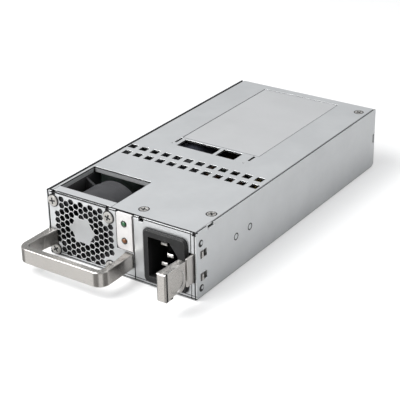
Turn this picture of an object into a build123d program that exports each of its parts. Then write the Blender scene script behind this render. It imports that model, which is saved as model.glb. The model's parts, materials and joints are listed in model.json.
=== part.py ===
# One-unit-high hot-swap switching power supply, built as its real separate pieces.
# Millimetres. +X is to the right seen from the front, +Y runs from the front face to the
# rear, +Z is up. The origin is the middle of the underside of the case.
import math
import os

from build123d import *

os.makedirs("parts", exist_ok=True)

# Case
case_width = 101.6
case_length = 203.2
case_height = 40.0
sheet = 1.0
bend_radius = 1.5
panel_bend = 0.8
edge_gap = 0.3
hem_chamfer = 2.5
front_y = -case_length / 2
inner_x = case_width / 2 - sheet
panel_x = inner_x - edge_gap
under_cover = case_height - sheet

# Seam between the fan panel and the inlet panel
seam_x = 9.6
seam_gap = 0.7
flange_depth = 8.0
rivet_radius = 1.6
rivet_head_radius = 2.3
rivet_head_height = 0.7
rivet_depth = 4.3
inlet_rivet_heights = (6.1, 32.8)
fan_rivet_heights = (20.0, 27.0)

# Fan compartment
fan_x = -26.4
fan_z = case_height / 2
barrel_radius = fan_z - 1.3
barrel_wall = 1.2
barrel_end = 26.0
collar_end = 32.0
collar_radius = barrel_radius - 0.7
fan_plate_thickness = 2.6
duct_left = -48.4
duct_right = -4.4
duct_wall = 1.4
duct_end = 44.0
duct_bottom = sheet + edge_gap
duct_top = case_height - 3.8
gusset_thickness = 1.5
hub_radius = 10.0
hub_wall = 1.2
hub_front = 6.0
hub_rear = 24.0
blade_count = 7
blade_clearance = 0.6
blade_thickness = 1.1
blade_chord = 13.0
blade_root_pitch = 38.0
blade_tip_pitch = 52.0
shaft_radius = 1.0
shaft_fit = 0.03
bearing_radius = 2.6
bearing_length = 2.5
tube_wall = 0.8
magnet_thickness = 1.1
magnet_air_gap = 0.4
stator_poles = 4
strut_count = 4
strut_width = 2.4
motor_base_radius = 9.0
motor_base_thickness = 2.0

# Guard screws and the grille
guard_x = fan_x
guard_z = fan_z - 0.8
guard_pitch_x = 39.2
guard_pitch_z = case_height - 9.6
guard_head_radius = 3.3
guard_head_height = 1.4
guard_shank_radius = 1.5
guard_shank_length = 9.0
boss_radius = 2.4
boss_end = 12.0
hex_pitch = 3.96
hex_flat = 3.5
hex_columns = 12
hex_rows = 9
hex_field_x = fan_x + 1.7
hex_field_z = fan_z - 0.3
hub_disc_x = fan_x + 0.4
hub_disc_z = fan_z + 0.4
hub_disc_radius = 7.4
hex_margin = 0.9

# Top rail of the fan panel and the opening in the cover
rail_depth = 7.6
opening_left = duct_left + 1.2
opening_right = duct_right - 1.6
opening_rear = 38.8
relief_width = 2.6
relief_depth = 2.0
relief_drop = 2.5
lip_drop = 2.4
cover_flange_drop = 7.0

# Cover cut-outs
vent_size = 5.0
vent_pitch = 8.1
vent_columns = 12
vent_rows_depth = (65.0, 74.0)
vent_stagger = 2.1
slot_depth = 89.0
slot_size = 10.0
slot_left = -24.4
slot_right = 16.5
slot_bar_x = 2.5
slot_bar_width = 2.2
side_slot_positions = (-27.6, 24.5)
side_slot_width = 1.5
side_slot_length = 7.4
side_slot_depth = 96.2
mark_positions = ((-28.6, 90.6), (23.4, 88.6))
mark_radius = 0.5
label_front = 100.6
label_rear = case_length - 6.2
label_left = -28.4
label_right = 26.8
label_recess = 0.3
label_thickness = 0.15

# Countersunk cover screws: across, depth
cover_screw_lug = (seam_x + 0.8, 9.5)
cover_screw_side = (inner_x - 5.4, 24.0)
cover_screw_rear = (43.7, case_length - 9.8)
cover_screw_head_radius = 3.2
cover_screw_radius = 1.5
cover_screw_length = 6.0
lug_left = seam_x - 4.2
lug_right = seam_x + 4.0
lug_depth = 15.0
notch_width = 3.3
side_tab_width = 12.0
side_tab_reach = 10.3
wall_slot_front = 11.0
wall_slot_length = 6.0
wall_slot_drop = 1.8

# Status plate, its lamps and their board
plate_left = seam_x - 11.5
plate_bottom = case_height - 23.0
plate_gap = 0.55
plate_proud = 0.2
plate_lip = 1.0
plate_lip_thickness = 1.2
lamp_x = seam_x - 5.9
lamp_heights = (case_height - 6.8, case_height - 17.1)
lamp_radius = 1.5
lamp_hole_radius = 1.55
lamp_flange_radius = 1.9
lamp_flange_thickness = 1.0
lamp_board_depth = 6.5
lamp_board_thickness = 1.6
lamp_post_radius = 1.5

# Handle
handle_left = -case_width / 2 + 0.2
handle_right = seam_x - edge_gap
handle_reach = 28.0
handle_bottom = 7.4
handle_height = 9.0
handle_bar = 4.4
handle_corner = 6.6
handle_edge = 0.7
handle_left_foot = 6.4
handle_right_foot = 5.6
handle_flare = 10.0
handle_screw_x = (handle_left + 3.6, handle_right - 2.3)
handle_screw_radius = 1.25
handle_screw_head_radius = 2.3
handle_screw_head_height = 1.8
handle_screw_length = 8.0

# Mains inlet
inlet_x = 31.2
inlet_z = 19.2
inlet_flange_width = 28.4
inlet_flange_height = 32.4
inlet_flange_thickness = 2.0
inlet_flange_corner = 3.0
inlet_flange_bevel = 0.9
inlet_body_width = 24.6
inlet_body_height = 28.0
inlet_body_length = 20.0
inlet_body_corner = 2.0
cavity_shift = -0.6
cavity_width = 19.6
cavity_height = 24.2
cavity_depth = 15.5
cavity_chamfer_width = 5.4
cavity_chamfer_height = 7.2
blade_width = 4.0
blade_height = 2.0
blade_tip_depth = 4.5
blade_tail = 5.0
blade_line_x = inlet_x - 4.8
blade_earth_offset = 4.0
blade_spacing = 12.4
wire_radius = 1.3
wire_bend = 4.0
wire_drops = (34.0, 32.0, 29.6)

# Release latch
latch_z = 19.2
lever_thickness = 1.2
lever_inner_x = inner_x - 1.9
lever_neck_height = 16.4
lever_wide_height = 18.2
lever_wide_front = 2.6
lever_rear = 34.0
lever_front = -6.0
pad_inner_front_x = 43.6
pad_inner_rear_x = 45.0
pad_outer_x = 49.4
pad_front = -26.0
pad_rear = -8.2
pad_edge = 0.8
pad_heel_radius = 5.0
pad_dimple_radius = 6.5
pad_dimple_depth = 0.35
pad_dimple_depth_y = -16.0
pad_notch_depth = -16.5
pad_notch_size = (1.6, 6.0, 1.0)
tongue_inner_x = 46.2
tongue_front = -21.0
tongue_height = 11.0
lug_spacing = 13.4
lug_height = 3.4
lug_front = 4.4
lug_rear = 9.2
lug_reach = 0.9
window_front = 3.8
window_rear = 9.9
window_height = 4.4
leaf_thickness = 0.4
leaf_front = 20.0
leaf_rear = 58.0
leaf_bottom = 15.0
leaf_height = 12.0
latch_rivet_depths = (38.3, 52.4)
latch_rivet_z = 21.8
latch_slot_left = inner_x - 4.2
latch_slot_margin = 0.6

# Rear panel and its card-edge opening
rear_tab_bottom = 17.8
rear_tab_height = 5.2
rear_notch_margin = 0.3
rear_notch_depth = 2.6
rear_flange_depth = 14.0
rear_lug_width = 9.0
rear_foot_depth = 5.0
edge_slot_half_width = 35.0
edge_slot_top = 10.0
rear_hex_pitch = 5.2
rear_hex_flat = 4.5
rear_hex_columns = 17
rear_hex_rows = 4
rear_hex_z = 25.0

# Main board
board_bottom = 4.6
board_thickness = 1.6
board_top = board_bottom + board_thickness
board_half_width = 46.0
board_front = 46.0
board_wing_left = 12.0
board_wing_front = 27.0
board_rear = case_length - 3.2
tongue_half_width = 34.0
tongue_rear = case_length + 10.8
board_hole_rear = board_rear - 6.0
board_holes = (
    (-42.0, 52.0), (-42.0, 122.0), (-42.0, board_hole_rear),
    (42.0, 40.0), (42.0, 100.0), (42.0, board_hole_rear),
)
standoff_radius = 2.6
standoff_root_radius = 2.1
board_screw_radius = 1.5
board_screw_head_radius = 2.8
board_screw_head_height = 1.9
insulator_thickness = 0.4
finger_count = 12
finger_length = 9.0
finger_width = 3.6
finger_thickness = 0.15

# Parts on the main board: across, depth, then sizes
filter_choke_place = (28.0, 48.0)
filter_choke_radii = (9.5, 5.0)
filter_choke_width = 9.0
winding_wall = 1.8
x_capacitor_places = ((22.0, 62.0), (22.0, 74.0))
x_capacitor_size = (18.0, 8.5, 15.0)
y_capacitor_places = ((36.0, 68.0), (43.4, 68.0))
y_capacitor_radius = 3.4
y_capacitor_thickness = 3.2
fuse_place = (42.5, 56.0)
fuse_radius = 3.2
fuse_length = 16.0
fuse_height = 5.5
bridge_place = (34.0, 82.0)
bridge_size = (22.0, 4.6, 18.0)
boost_choke_place = (9.6, 95.0)
boost_choke_radii = (13.0, 7.0)
boost_choke_width = 11.0
bulk_capacitor_place = (-22.0, 82.0)
bulk_capacitor_clearance = 2.8
bulk_capacitor_radius = (under_cover - board_top - bulk_capacitor_clearance) / 2
bulk_capacitor_length = 50.0
bulk_groove = 0.6
primary_sink_place = (32.0, 128.0)
primary_sink_length = 46.0
sink_base = 3.0
sink_height = 28.0
sink_fin = 1.2
sink_fin_length = 7.0
sink_fin_count = 6
transistor_size = (5.0, 15.6, 20.6)
primary_transistor_depths = (113.0, 131.0)
transistor_lift = 3.0
transformer_place = (6.0, 146.0)
transformer_core_size = (34.0, 11.0, 28.0)
transformer_core_yoke = 6.0
transformer_coil_size = (24.0, 26.0, 27.0)
transformer_leg = 9.0
secondary_sink_place = (-24.0, 160.0)
secondary_sink_length = 36.0
secondary_transistor_depths = (150.0, 168.0)
output_choke_place = (-8.0, board_rear - 22.0)
output_choke_size = (18.0, 16.0, 14.0)
output_capacitor_radius = 4.0
output_capacitor_height = 16.0
output_capacitor_pitch = 9.4
output_capacitor_columns = 4
output_capacitor_rows = 2
output_capacitor_place = (22.0, board_rear - 16.0)
standby_place = (14.0, 120.0)
standby_size = (16.0, 13.0, 15.0)
control_place = (-42.0, 158.0)
control_length = 50.0
control_height = 26.0
control_chip_depths = (146.0, 160.0, 172.0)
control_chip_size = (1.2, 7.0, 7.0)

ON_BASE = (Align.CENTER, Align.CENTER, Align.MIN)


# Depth is counted from the front face towards the rear.
def at_depth(depth):
    return front_y + depth


# Plane parallel to the front face; local axes are X and Z, its normal looks out of the face.
def front_plane(depth):
    return Plane.XZ.offset(-at_depth(depth))


# Plane parallel to the right wall; local axes are Y and Z.
def side_plane(across):
    return Plane.YZ.offset(across)


# Centre line of the fan, pointing to the rear.
fan_axis = Axis((fan_x, front_y, fan_z), (0, 1, 0))


# The four places of the guard screws, as X and Z.
def guard_places():
    half_x = guard_pitch_x / 2
    half_z = guard_pitch_z / 2
    return [(guard_x + sx * half_x, guard_z + sz * half_z) for sx in (-1, 1) for sz in (-1, 1)]


# Hexagon centres of a staggered field, as X and Z, each column shifted by half a pitch.
def hex_field(centre_x, centre_z, columns, rows, pitch):
    step = pitch * math.sqrt(3) / 2
    places = []
    for column in range(columns):
        x = centre_x + (column - (columns - 1) / 2) * step
        shift = pitch / 2 if column % 2 else 0.0
        for row in range(rows):
            z = centre_z + (row - (rows - 1) / 2) * pitch - pitch / 4 + shift
            places.append((x, z))
    return places


# Hexagons of the fan guard that stay clear of the screw heads; the disc and the rims clip the others.
def guard_hexes():
    corner = hex_flat / math.sqrt(3)
    kept = []
    for x, z in hex_field(hex_field_x, hex_field_z, hex_columns, hex_rows, hex_pitch):
        clear_of_disc = math.hypot(x - hub_disc_x, z - hub_disc_z) > hub_disc_radius
        clear_of_screws = all(
            math.hypot(x - sx, z - sz) > guard_head_radius + corner + hex_margin * 0.5
            for sx, sz in guard_places()
        )
        inside = sheet + hex_margin < z < under_cover - hex_margin
        if clear_of_disc and clear_of_screws and inside:
            kept.append((x, z))
    return kept


# Section of a sheet bent into a channel: the base line is at base_z, the arms end at arm_z.
def channel_section(half_width, base_z, arm_z, radius):
    up = 1 if arm_z > base_z else -1
    with BuildSketch() as section:
        with BuildLine():
            outer = FilletPolyline(
                (-half_width, arm_z), (-half_width, base_z), (half_width, base_z), (half_width, arm_z),
                radius=radius,
            )
            inner = FilletPolyline(
                (sheet - half_width, arm_z), (sheet - half_width, base_z + up * sheet),
                (half_width - sheet, base_z + up * sheet), (half_width - sheet, arm_z),
                radius=radius - sheet,
            )
            Line(outer @ 0, inner @ 0)
            Line(outer @ 1, inner @ 1)
        make_face()
    return section.sketch_local


# Chassis: floor and both side walls from one bent sheet
with BuildPart() as chassis:
    with BuildSketch(front_plane(0)):
        add(channel_section(case_width / 2, 0, case_height, bend_radius))
    extrude(amount=-case_length)
    # Tab that is folded in from the right wall and takes a cover screw
    with Locations((inner_x, at_depth(cover_screw_side[1]), under_cover)):
        Box(side_tab_reach, side_tab_width, sheet, align=(Align.MAX, Align.CENTER, Align.MAX))
    with Locations((cover_screw_side[0], at_depth(cover_screw_side[1]), under_cover)):
        CounterSinkHole(cover_screw_radius, cover_screw_head_radius - sheet, depth=sheet,
            counter_sink_angle=90)
    # Windows of the latch lugs
    with BuildSketch(side_plane(inner_x - sheet)):
        with Locations((at_depth((window_front + window_rear) / 2), latch_z)):
            with GridLocations(0, lug_spacing, 1, 2):
                Rectangle(window_rear - window_front, window_height)
    extrude(amount=3 * sheet, mode=Mode.SUBTRACT)
    # Rivet holes of the inlet panel and of the latch spring, right wall
    with BuildSketch(side_plane(inner_x)):
        with Locations(*[(at_depth(rivet_depth), z) for z in inlet_rivet_heights]):
            Circle(rivet_radius)
        with Locations(*[(at_depth(d), latch_rivet_z) for d in latch_rivet_depths]):
            Circle(rivet_radius)
    extrude(amount=sheet, mode=Mode.SUBTRACT)
    # Rivet holes of the fan panel, left wall
    with BuildSketch(side_plane(-inner_x)):
        with Locations(*[(at_depth(rivet_depth), z) for z in fan_rivet_heights]):
            Circle(rivet_radius)
    extrude(amount=-sheet, mode=Mode.SUBTRACT)
    # Relief slot in the top edge of the right wall, in front of the folded tab
    with Locations((inner_x, at_depth(wall_slot_front), case_height)):
        Box(sheet, wall_slot_length, wall_slot_drop, align=(Align.MIN, Align.MIN, Align.MAX),
            mode=Mode.SUBTRACT)
    # Notches in the rear edges of both walls, for the tabs of the rear panel
    with Locations((0, at_depth(case_length), rear_tab_bottom + rear_tab_height / 2)):
        Box(
            case_width, rear_notch_depth, rear_tab_height + 2 * rear_notch_margin,
            align=(Align.CENTER, Align.MAX, Align.CENTER), mode=Mode.SUBTRACT,
        )
    # Cropped lower rear corner
    with BuildSketch(side_plane(-case_width / 2)):
        with BuildLine():
            Polyline(
                (at_depth(case_length), 0), (at_depth(case_length), hem_chamfer),
                (at_depth(case_length - hem_chamfer), 0), close=True,
            )
        make_face()
    extrude(amount=case_width, mode=Mode.SUBTRACT)
    # Seats of the pressed-in standoffs
    with BuildSketch(Plane.XY):
        with Locations(*[(x, at_depth(d)) for x, d in board_holes]):
            Circle(standoff_root_radius)
    extrude(amount=sheet, mode=Mode.SUBTRACT)
chassis.part.label = "chassis"
export_step(chassis.part, "parts/chassis.step")

# Top cover: flat sheet with flanges folded down inside the walls
with BuildPart() as top_cover:
    with BuildSketch(front_plane(0)):
        add(channel_section(panel_x, case_height, case_height - cover_flange_drop,
            bend_radius - edge_gap))
    extrude(amount=-case_length)
    flange_bottom = case_height - cover_flange_drop
    # The sheet starts behind the front panels
    with Locations((0, at_depth(0), flange_bottom)):
        Box(
            case_width, sheet + seam_gap, cover_flange_drop,
            align=(Align.CENTER, Align.MIN, Align.MIN), mode=Mode.SUBTRACT,
        )
    # Flanges stop short of the panels' own flanges, the folded tab and the rear panel
    with Locations((-panel_x, at_depth(0), flange_bottom)):
        Box(
            2 * sheet, flange_depth + 2 * edge_gap + sheet, cover_flange_drop - sheet,
            align=(Align.MIN, Align.MIN, Align.MIN), mode=Mode.SUBTRACT,
        )
    with Locations((panel_x, at_depth(0), flange_bottom)):
        Box(
            2 * sheet, cover_screw_side[1] + side_tab_width / 2 + edge_gap, cover_flange_drop - sheet,
            align=(Align.MAX, Align.MIN, Align.MIN), mode=Mode.SUBTRACT,
        )
    with Locations((0, at_depth(case_length), flange_bottom)):
        Box(
            case_width, sheet + edge_gap, cover_flange_drop - sheet,
            align=(Align.CENTER, Align.MAX, Align.MIN), mode=Mode.SUBTRACT,
        )
    # Tongue that reaches the front edge over the inlet panel's lug
    with Locations(((seam_x + seam_gap + lug_right) / 2, at_depth(edge_gap), under_cover)):
        Box(
            lug_right - seam_x - seam_gap, sheet + seam_gap, sheet,
            align=(Align.CENTER, Align.MIN, Align.MIN),
        )
    # Opening over the fan, with folded lips at its rear and left edges
    with BuildSketch(Plane.XY.offset(under_cover)):
        with Locations(((opening_left + opening_right) / 2, at_depth(0))):
            Rectangle(opening_right - opening_left, opening_rear, align=(Align.CENTER, Align.MIN))
    extrude(amount=sheet, mode=Mode.SUBTRACT)
    with Locations(((opening_left + opening_right) / 2, at_depth(opening_rear), under_cover)):
        Box(
            opening_right - opening_left - 2 * edge_gap, sheet, lip_drop,
            align=(Align.CENTER, Align.MIN, Align.MAX),
        )
    with Locations((opening_left, at_depth(rail_depth + sheet), under_cover)):
        Box(
            sheet * 0.9, opening_rear - rail_depth - 2 * sheet, lip_drop,
            align=(Align.MAX, Align.MIN, Align.MAX),
        )
    # Two staggered rows of square vents
    with BuildSketch(Plane.XY.offset(under_cover)):
        for row, depth in enumerate(vent_rows_depth):
            shift = vent_stagger * (0.5 - row)
            with Locations((shift, at_depth(depth))):
                with GridLocations(vent_pitch, 0, vent_columns, 1):
                    Rectangle(vent_size, vent_size)
        # Wide slot, divided by a bar, with a thin slot at each side
        slot_centre = at_depth(slot_depth + slot_size / 2)
        bar_left = slot_bar_x - slot_bar_width / 2
        bar_right = slot_bar_x + slot_bar_width / 2
        with Locations(((slot_left + bar_left) / 2, slot_centre)):
            Rectangle(bar_left - slot_left, slot_size)
        with Locations(((slot_right + bar_right) / 2, slot_centre)):
            Rectangle(slot_right - bar_right, slot_size)
        with Locations(*[(x, at_depth(side_slot_depth)) for x in side_slot_positions]):
            Rectangle(side_slot_width, side_slot_length)
        with Locations(*[(x, at_depth(d)) for x, d in mark_positions]):
            Circle(mark_radius)
    extrude(amount=sheet, mode=Mode.SUBTRACT)
    # Shallow recess of the rating label
    with BuildSketch(Plane.XY.offset(case_height)):
        with Locations((label_left, at_depth(label_front))):
            Rectangle(label_right - label_left, label_rear - label_front, align=(Align.MIN, Align.MIN))
    extrude(amount=-label_recess, mode=Mode.SUBTRACT)
    # Countersunk seats of the cover screws
    with Locations(*[(x, at_depth(d), case_height) for x, d in (cover_screw_lug, cover_screw_side,
        cover_screw_rear)]):
        CounterSinkHole(cover_screw_radius, cover_screw_head_radius, depth=sheet, counter_sink_angle=90)
top_cover.part.label = "top_cover"
export_step(top_cover.part, "parts/top_cover.step")

# Blank rating label in the recess of the cover
with BuildPart() as rating_label:
    with BuildSketch(Plane.XY.offset(case_height - label_recess)):
        with Locations(((label_left + label_right) / 2, at_depth((label_front + label_rear) / 2))):
            RectangleRounded(label_right - label_left - 2 * edge_gap,
                label_rear - label_front - 2 * edge_gap, 1.0)
    extrude(amount=label_thickness)
rating_label.part.label = "rating_label"
export_step(rating_label.part, "parts/rating_label.step")

# Fan panel: hexagonal guard, top rail and left side flange from one sheet
with BuildPart() as fan_panel:
    rail_left = opening_left + edge_gap
    rail_right = opening_right - edge_gap
    with BuildSketch(front_plane(0)):
        with Locations(((seam_x - panel_x) / 2, sheet)):
            Rectangle(seam_x + panel_x, case_height - sheet, align=(Align.CENTER, Align.MIN))
        # Corner taken by the status plate
        with Locations((seam_x, case_height)):
            Rectangle(
                seam_x - plate_left, case_height - plate_bottom,
                align=(Align.MAX, Align.MAX), mode=Mode.SUBTRACT,
            )
    extrude(amount=-sheet)
    # Rail folded over the top, level with the cover
    with BuildSketch(Plane.XY.offset(under_cover)):
        with Locations(((rail_left + rail_right) / 2, at_depth(0))):
            Rectangle(rail_right - rail_left, rail_depth, align=(Align.CENTER, Align.MIN))
    extrude(amount=sheet)
    # Relief notches at both ends of the bend
    with Locations(
        (rail_left + relief_width / 2, at_depth(0), case_height),
        (rail_right - relief_width / 2, at_depth(0), case_height),
    ):
        Box(
            relief_width, relief_depth, relief_drop,
            align=(Align.CENTER, Align.MIN, Align.MAX), mode=Mode.SUBTRACT,
        )
    rail_edges = fan_panel.edges().filter_by(Axis.X).filter_by_position(
        Axis.Z, case_height - 0.01, case_height + 0.01
    ).filter_by_position(Axis.Y, front_y - 0.01, front_y + 0.01)
    fillet(rail_edges.sort_by(Edge.length)[-1], radius=bend_radius - edge_gap)
    # Flange along the left wall, and a foot on the floor near the seam
    with Locations((-panel_x, at_depth(0), fan_rivet_heights[0] - rivet_head_radius - edge_gap)):
        Box(
            sheet, flange_depth,
            fan_rivet_heights[1] - fan_rivet_heights[0] + 2 * (rivet_head_radius + edge_gap),
            align=(Align.MIN, Align.MIN, Align.MIN),
        )
    with Locations((duct_right + sheet, at_depth(0), sheet)):
        Box(seam_x - duct_right - 2 * sheet, flange_depth, sheet, align=(Align.MIN, Align.MIN, Align.MIN))
    # Bent corner beside the left wall
    corners = fan_panel.edges().filter_by(Axis.Z).group_by(Axis.X)[0]
    fillet(corners.filter_by_position(Axis.Y, front_y - 0.01, front_y + 0.01), radius=panel_bend)
    # Rivet holes
    with BuildSketch(side_plane(-panel_x)):
        with Locations(*[(at_depth(rivet_depth), z) for z in fan_rivet_heights]):
            Circle(rivet_radius)
    extrude(amount=sheet, mode=Mode.SUBTRACT)
    # Hexagonal guard, guard screw holes and handle screw holes
    with BuildSketch(front_plane(0)):
        with Locations(*guard_hexes()):
            RegularPolygon(hex_flat / math.sqrt(3), 6)
        with Locations((fan_x, (sheet + under_cover) / 2)):
            Rectangle(case_width, under_cover - sheet - 2 * hex_margin, mode=Mode.INTERSECT)
        with Locations((hub_disc_x, hub_disc_z)):
            Circle(hub_disc_radius, mode=Mode.SUBTRACT)
        with Locations(*guard_places()):
            Circle(guard_shank_radius)
        with Locations(*[(x, handle_bottom + handle_height / 2) for x in handle_screw_x]):
            Circle(handle_screw_radius)
    extrude(amount=-sheet, mode=Mode.SUBTRACT)
fan_panel.part.label = "fan_panel"
export_step(fan_panel.part, "parts/fan_panel.step")

# Inlet panel: plate with the inlet cut-out, the latch slot, side flanges and a top lug
with BuildPart() as inlet_panel:
    with BuildSketch(front_plane(0)):
        with Locations(((seam_x + seam_gap + panel_x) / 2, sheet)):
            Rectangle(panel_x - seam_x - seam_gap, case_height - sheet,
                align=(Align.CENTER, Align.MIN))
        # Relief beside the lug, and the drop of the sheet where the lug is folded
        with Locations((lug_right, case_height)):
            Rectangle(notch_width, relief_drop, align=(Align.MIN, Align.MAX), mode=Mode.SUBTRACT)
        with Locations((seam_x + seam_gap, case_height)):
            Rectangle(lug_right - seam_x - seam_gap, sheet, align=(Align.MIN, Align.MAX),
                mode=Mode.SUBTRACT)
        with Locations((inlet_x, inlet_z)):
            RectangleRounded(inlet_body_width, inlet_body_height, inlet_body_corner, mode=Mode.SUBTRACT)
        # Slot of the latch, open to the right
        with Locations((latch_slot_left, latch_z)):
            Rectangle(
                panel_x - latch_slot_left, lever_neck_height + 2 * latch_slot_margin,
                align=(Align.MIN, Align.CENTER), mode=Mode.SUBTRACT,
            )
    extrude(amount=-sheet)
    # Lug under the cover
    with Locations((seam_x + seam_gap, at_depth(0), under_cover)):
        Box(
            lug_right - seam_x - seam_gap, relief_depth, sheet,
            align=(Align.MIN, Align.MIN, Align.MAX),
        )
    with Locations((lug_left, at_depth(relief_depth), under_cover)):
        Box(lug_right - lug_left, lug_depth - relief_depth, sheet,
            align=(Align.MIN, Align.MIN, Align.MAX))
    with Locations((cover_screw_lug[0], at_depth(cover_screw_lug[1]), under_cover)):
        CounterSinkHole(cover_screw_radius, cover_screw_head_radius - sheet, depth=sheet,
            counter_sink_angle=90)
    # Side flanges above and below the latch, and a foot on the floor
    flange_half = rivet_head_radius + edge_gap
    with Locations(*[(panel_x, at_depth(0), z) for z in inlet_rivet_heights]):
        Box(sheet, flange_depth, 2 * flange_half, align=(Align.MAX, Align.MIN, Align.CENTER))
    with Locations((inlet_x, at_depth(0), sheet)):
        Box(inlet_body_width, flange_depth, sheet, align=(Align.CENTER, Align.MIN, Align.MIN))
    with BuildSketch(side_plane(panel_x)):
        with Locations(*[(at_depth(rivet_depth), z) for z in inlet_rivet_heights]):
            Circle(rivet_radius)
    extrude(amount=-sheet, mode=Mode.SUBTRACT)
    # Bent corner beside the right wall
    corners = inlet_panel.edges().filter_by(Axis.Z).group_by(Axis.X)[-1]
    fillet(corners.filter_by_position(Axis.Y, front_y - 0.01, front_y + 0.01), radius=panel_bend)
inlet_panel.part.label = "inlet_panel"
export_step(inlet_panel.part, "parts/inlet_panel.step")

# Rear panel: hexagonal vents, card-edge opening, top lug under the cover, side tabs
with BuildPart() as rear_panel:
    with BuildSketch(front_plane(case_length)):
        with Locations((0, sheet)):
            Rectangle(2 * panel_x, under_cover - sheet, align=(Align.CENTER, Align.MIN))
        with Locations((0, rear_tab_bottom)):
            Rectangle(case_width, rear_tab_height, align=(Align.CENTER, Align.MIN))
        with Locations((0, edge_slot_top)):
            Rectangle(
                2 * edge_slot_half_width, edge_slot_top - 2 * sheet,
                align=(Align.CENTER, Align.MAX), mode=Mode.SUBTRACT,
            )
        rear_hexes = hex_field(0, rear_hex_z, rear_hex_columns, rear_hex_rows, rear_hex_pitch)
        with Locations(*rear_hexes):
            RegularPolygon(rear_hex_flat / math.sqrt(3), 6, mode=Mode.SUBTRACT)
    extrude(amount=sheet)
    # Lug under the cover's rear screw, and a foot on the floor under the card edge
    with Locations((cover_screw_rear[0], at_depth(case_length), under_cover)):
        Box(rear_lug_width, rear_flange_depth, sheet, align=(Align.CENTER, Align.MAX, Align.MAX))
    with Locations((0, at_depth(case_length), sheet)):
        Box(2 * edge_slot_half_width, rear_foot_depth, sheet, align=(Align.CENTER, Align.MAX, Align.MIN))
    with Locations((cover_screw_rear[0], at_depth(cover_screw_rear[1]), under_cover)):
        CounterSinkHole(cover_screw_radius, cover_screw_head_radius - sheet, depth=sheet,
            counter_sink_angle=90)
rear_panel.part.label = "rear_panel"
export_step(rear_panel.part, "parts/rear_panel.step")

# Countersunk cover screws
with BuildSketch() as cover_screw_profile:
    with BuildLine():
        Polyline(
            (0, 0), (cover_screw_head_radius, 0), (cover_screw_radius,
                cover_screw_radius - cover_screw_head_radius),
            (cover_screw_radius, -cover_screw_length), (0, -cover_screw_length), close=True,
        )
    make_face()

with BuildPart() as cover_screws:
    for across, depth in (cover_screw_lug, cover_screw_side, cover_screw_rear):
        with BuildSketch(Plane((across, at_depth(depth), case_height), x_dir=(1, 0, 0),
            z_dir=(0, -1, 0))):
            add(cover_screw_profile.sketch_local)
        revolve(axis=Axis((across, at_depth(depth), 0), (0, 0, 1)))
cover_screws.part.label = "cover_screws"
export_step(cover_screws.part, "parts/cover_screws.step")

# Pan-head guard screws
with BuildPart() as guard_screws:
    with BuildSketch(front_plane(0)):
        with Locations(*guard_places()):
            Circle(guard_head_radius)
    extrude(amount=guard_head_height)
    fillet(guard_screws.edges().filter_by(GeomType.CIRCLE).group_by(Axis.Y)[0],
        radius=guard_head_height * 0.6)
    with BuildSketch(front_plane(0)):
        with Locations(*guard_places()):
            Circle(guard_shank_radius)
    extrude(amount=-guard_shank_length)
guard_screws.part.label = "guard_screws"
export_step(guard_screws.part, "parts/guard_screws.step")

# Rivets of both front panels
with BuildPart() as panel_rivets:
    for side, heights in ((1, inlet_rivet_heights), (-1, fan_rivet_heights)):
        places = [(at_depth(rivet_depth), z) for z in heights]
        with BuildSketch(side_plane(side * case_width / 2)):
            with Locations(*places):
                Circle(rivet_radius)
        extrude(amount=-side * (case_width / 2 - panel_x + sheet))
        with BuildSketch(side_plane(side * (panel_x - sheet))):
            with Locations(*places):
                Circle(rivet_head_radius)
        extrude(amount=-side * rivet_head_height)
panel_rivets.part.label = "panel_rivets"
export_step(panel_rivets.part, "parts/panel_rivets.step")

# Status plate in the corner of the fan panel, with two posts for its board
with BuildPart() as status_plate:
    plate_width = seam_x - plate_left - 2 * plate_gap
    plate_height = case_height - plate_bottom - 2 * plate_gap
    plate_centre = ((plate_left + seam_x) / 2, (plate_bottom + case_height) / 2)
    with BuildSketch(front_plane(-plate_proud)) as plate_face:
        with Locations(plate_centre):
            Rectangle(plate_width, plate_height)
        fillet(plate_face.vertices().sort_by(Axis.Y)[:2].sort_by(Axis.X)[0], radius=2.4)
        fillet(plate_face.vertices().group_by(Axis.Y)[-1].sort_by(Axis.X)[0], radius=0.8)
    extrude(amount=-(sheet + plate_proud))
    with BuildSketch(front_plane(sheet)):
        with Locations((seam_x - plate_gap, plate_bottom - 2 * plate_lip)):
            Rectangle(
                plate_width + plate_gap + plate_lip, under_cover - 2 * sheet - plate_bottom + 2 * plate_lip,
                align=(Align.MAX, Align.MIN),
            )
    extrude(amount=-plate_lip_thickness)
    post_heights = (sum(lamp_heights) / 2, lamp_heights[1] - 5.6)
    with BuildSketch(front_plane(sheet)):
        with Locations(*[(lamp_x, z) for z in post_heights]):
            Circle(lamp_post_radius)
    extrude(amount=sheet - lamp_board_depth)
    with BuildSketch(front_plane(-plate_proud)):
        with Locations(*[(lamp_x, z) for z in lamp_heights]):
            Circle(lamp_hole_radius)
    extrude(amount=-(sheet + plate_proud + plate_lip_thickness), mode=Mode.SUBTRACT)
status_plate.part.label = "status_plate"
export_step(status_plate.part, "parts/status_plate.step")

# Profile of one lamp: dome, barrel and flange, seen from the side, axis along local X
lamp_back = lamp_board_depth
lamp_flange_front = sheet + plate_lip_thickness


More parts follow.
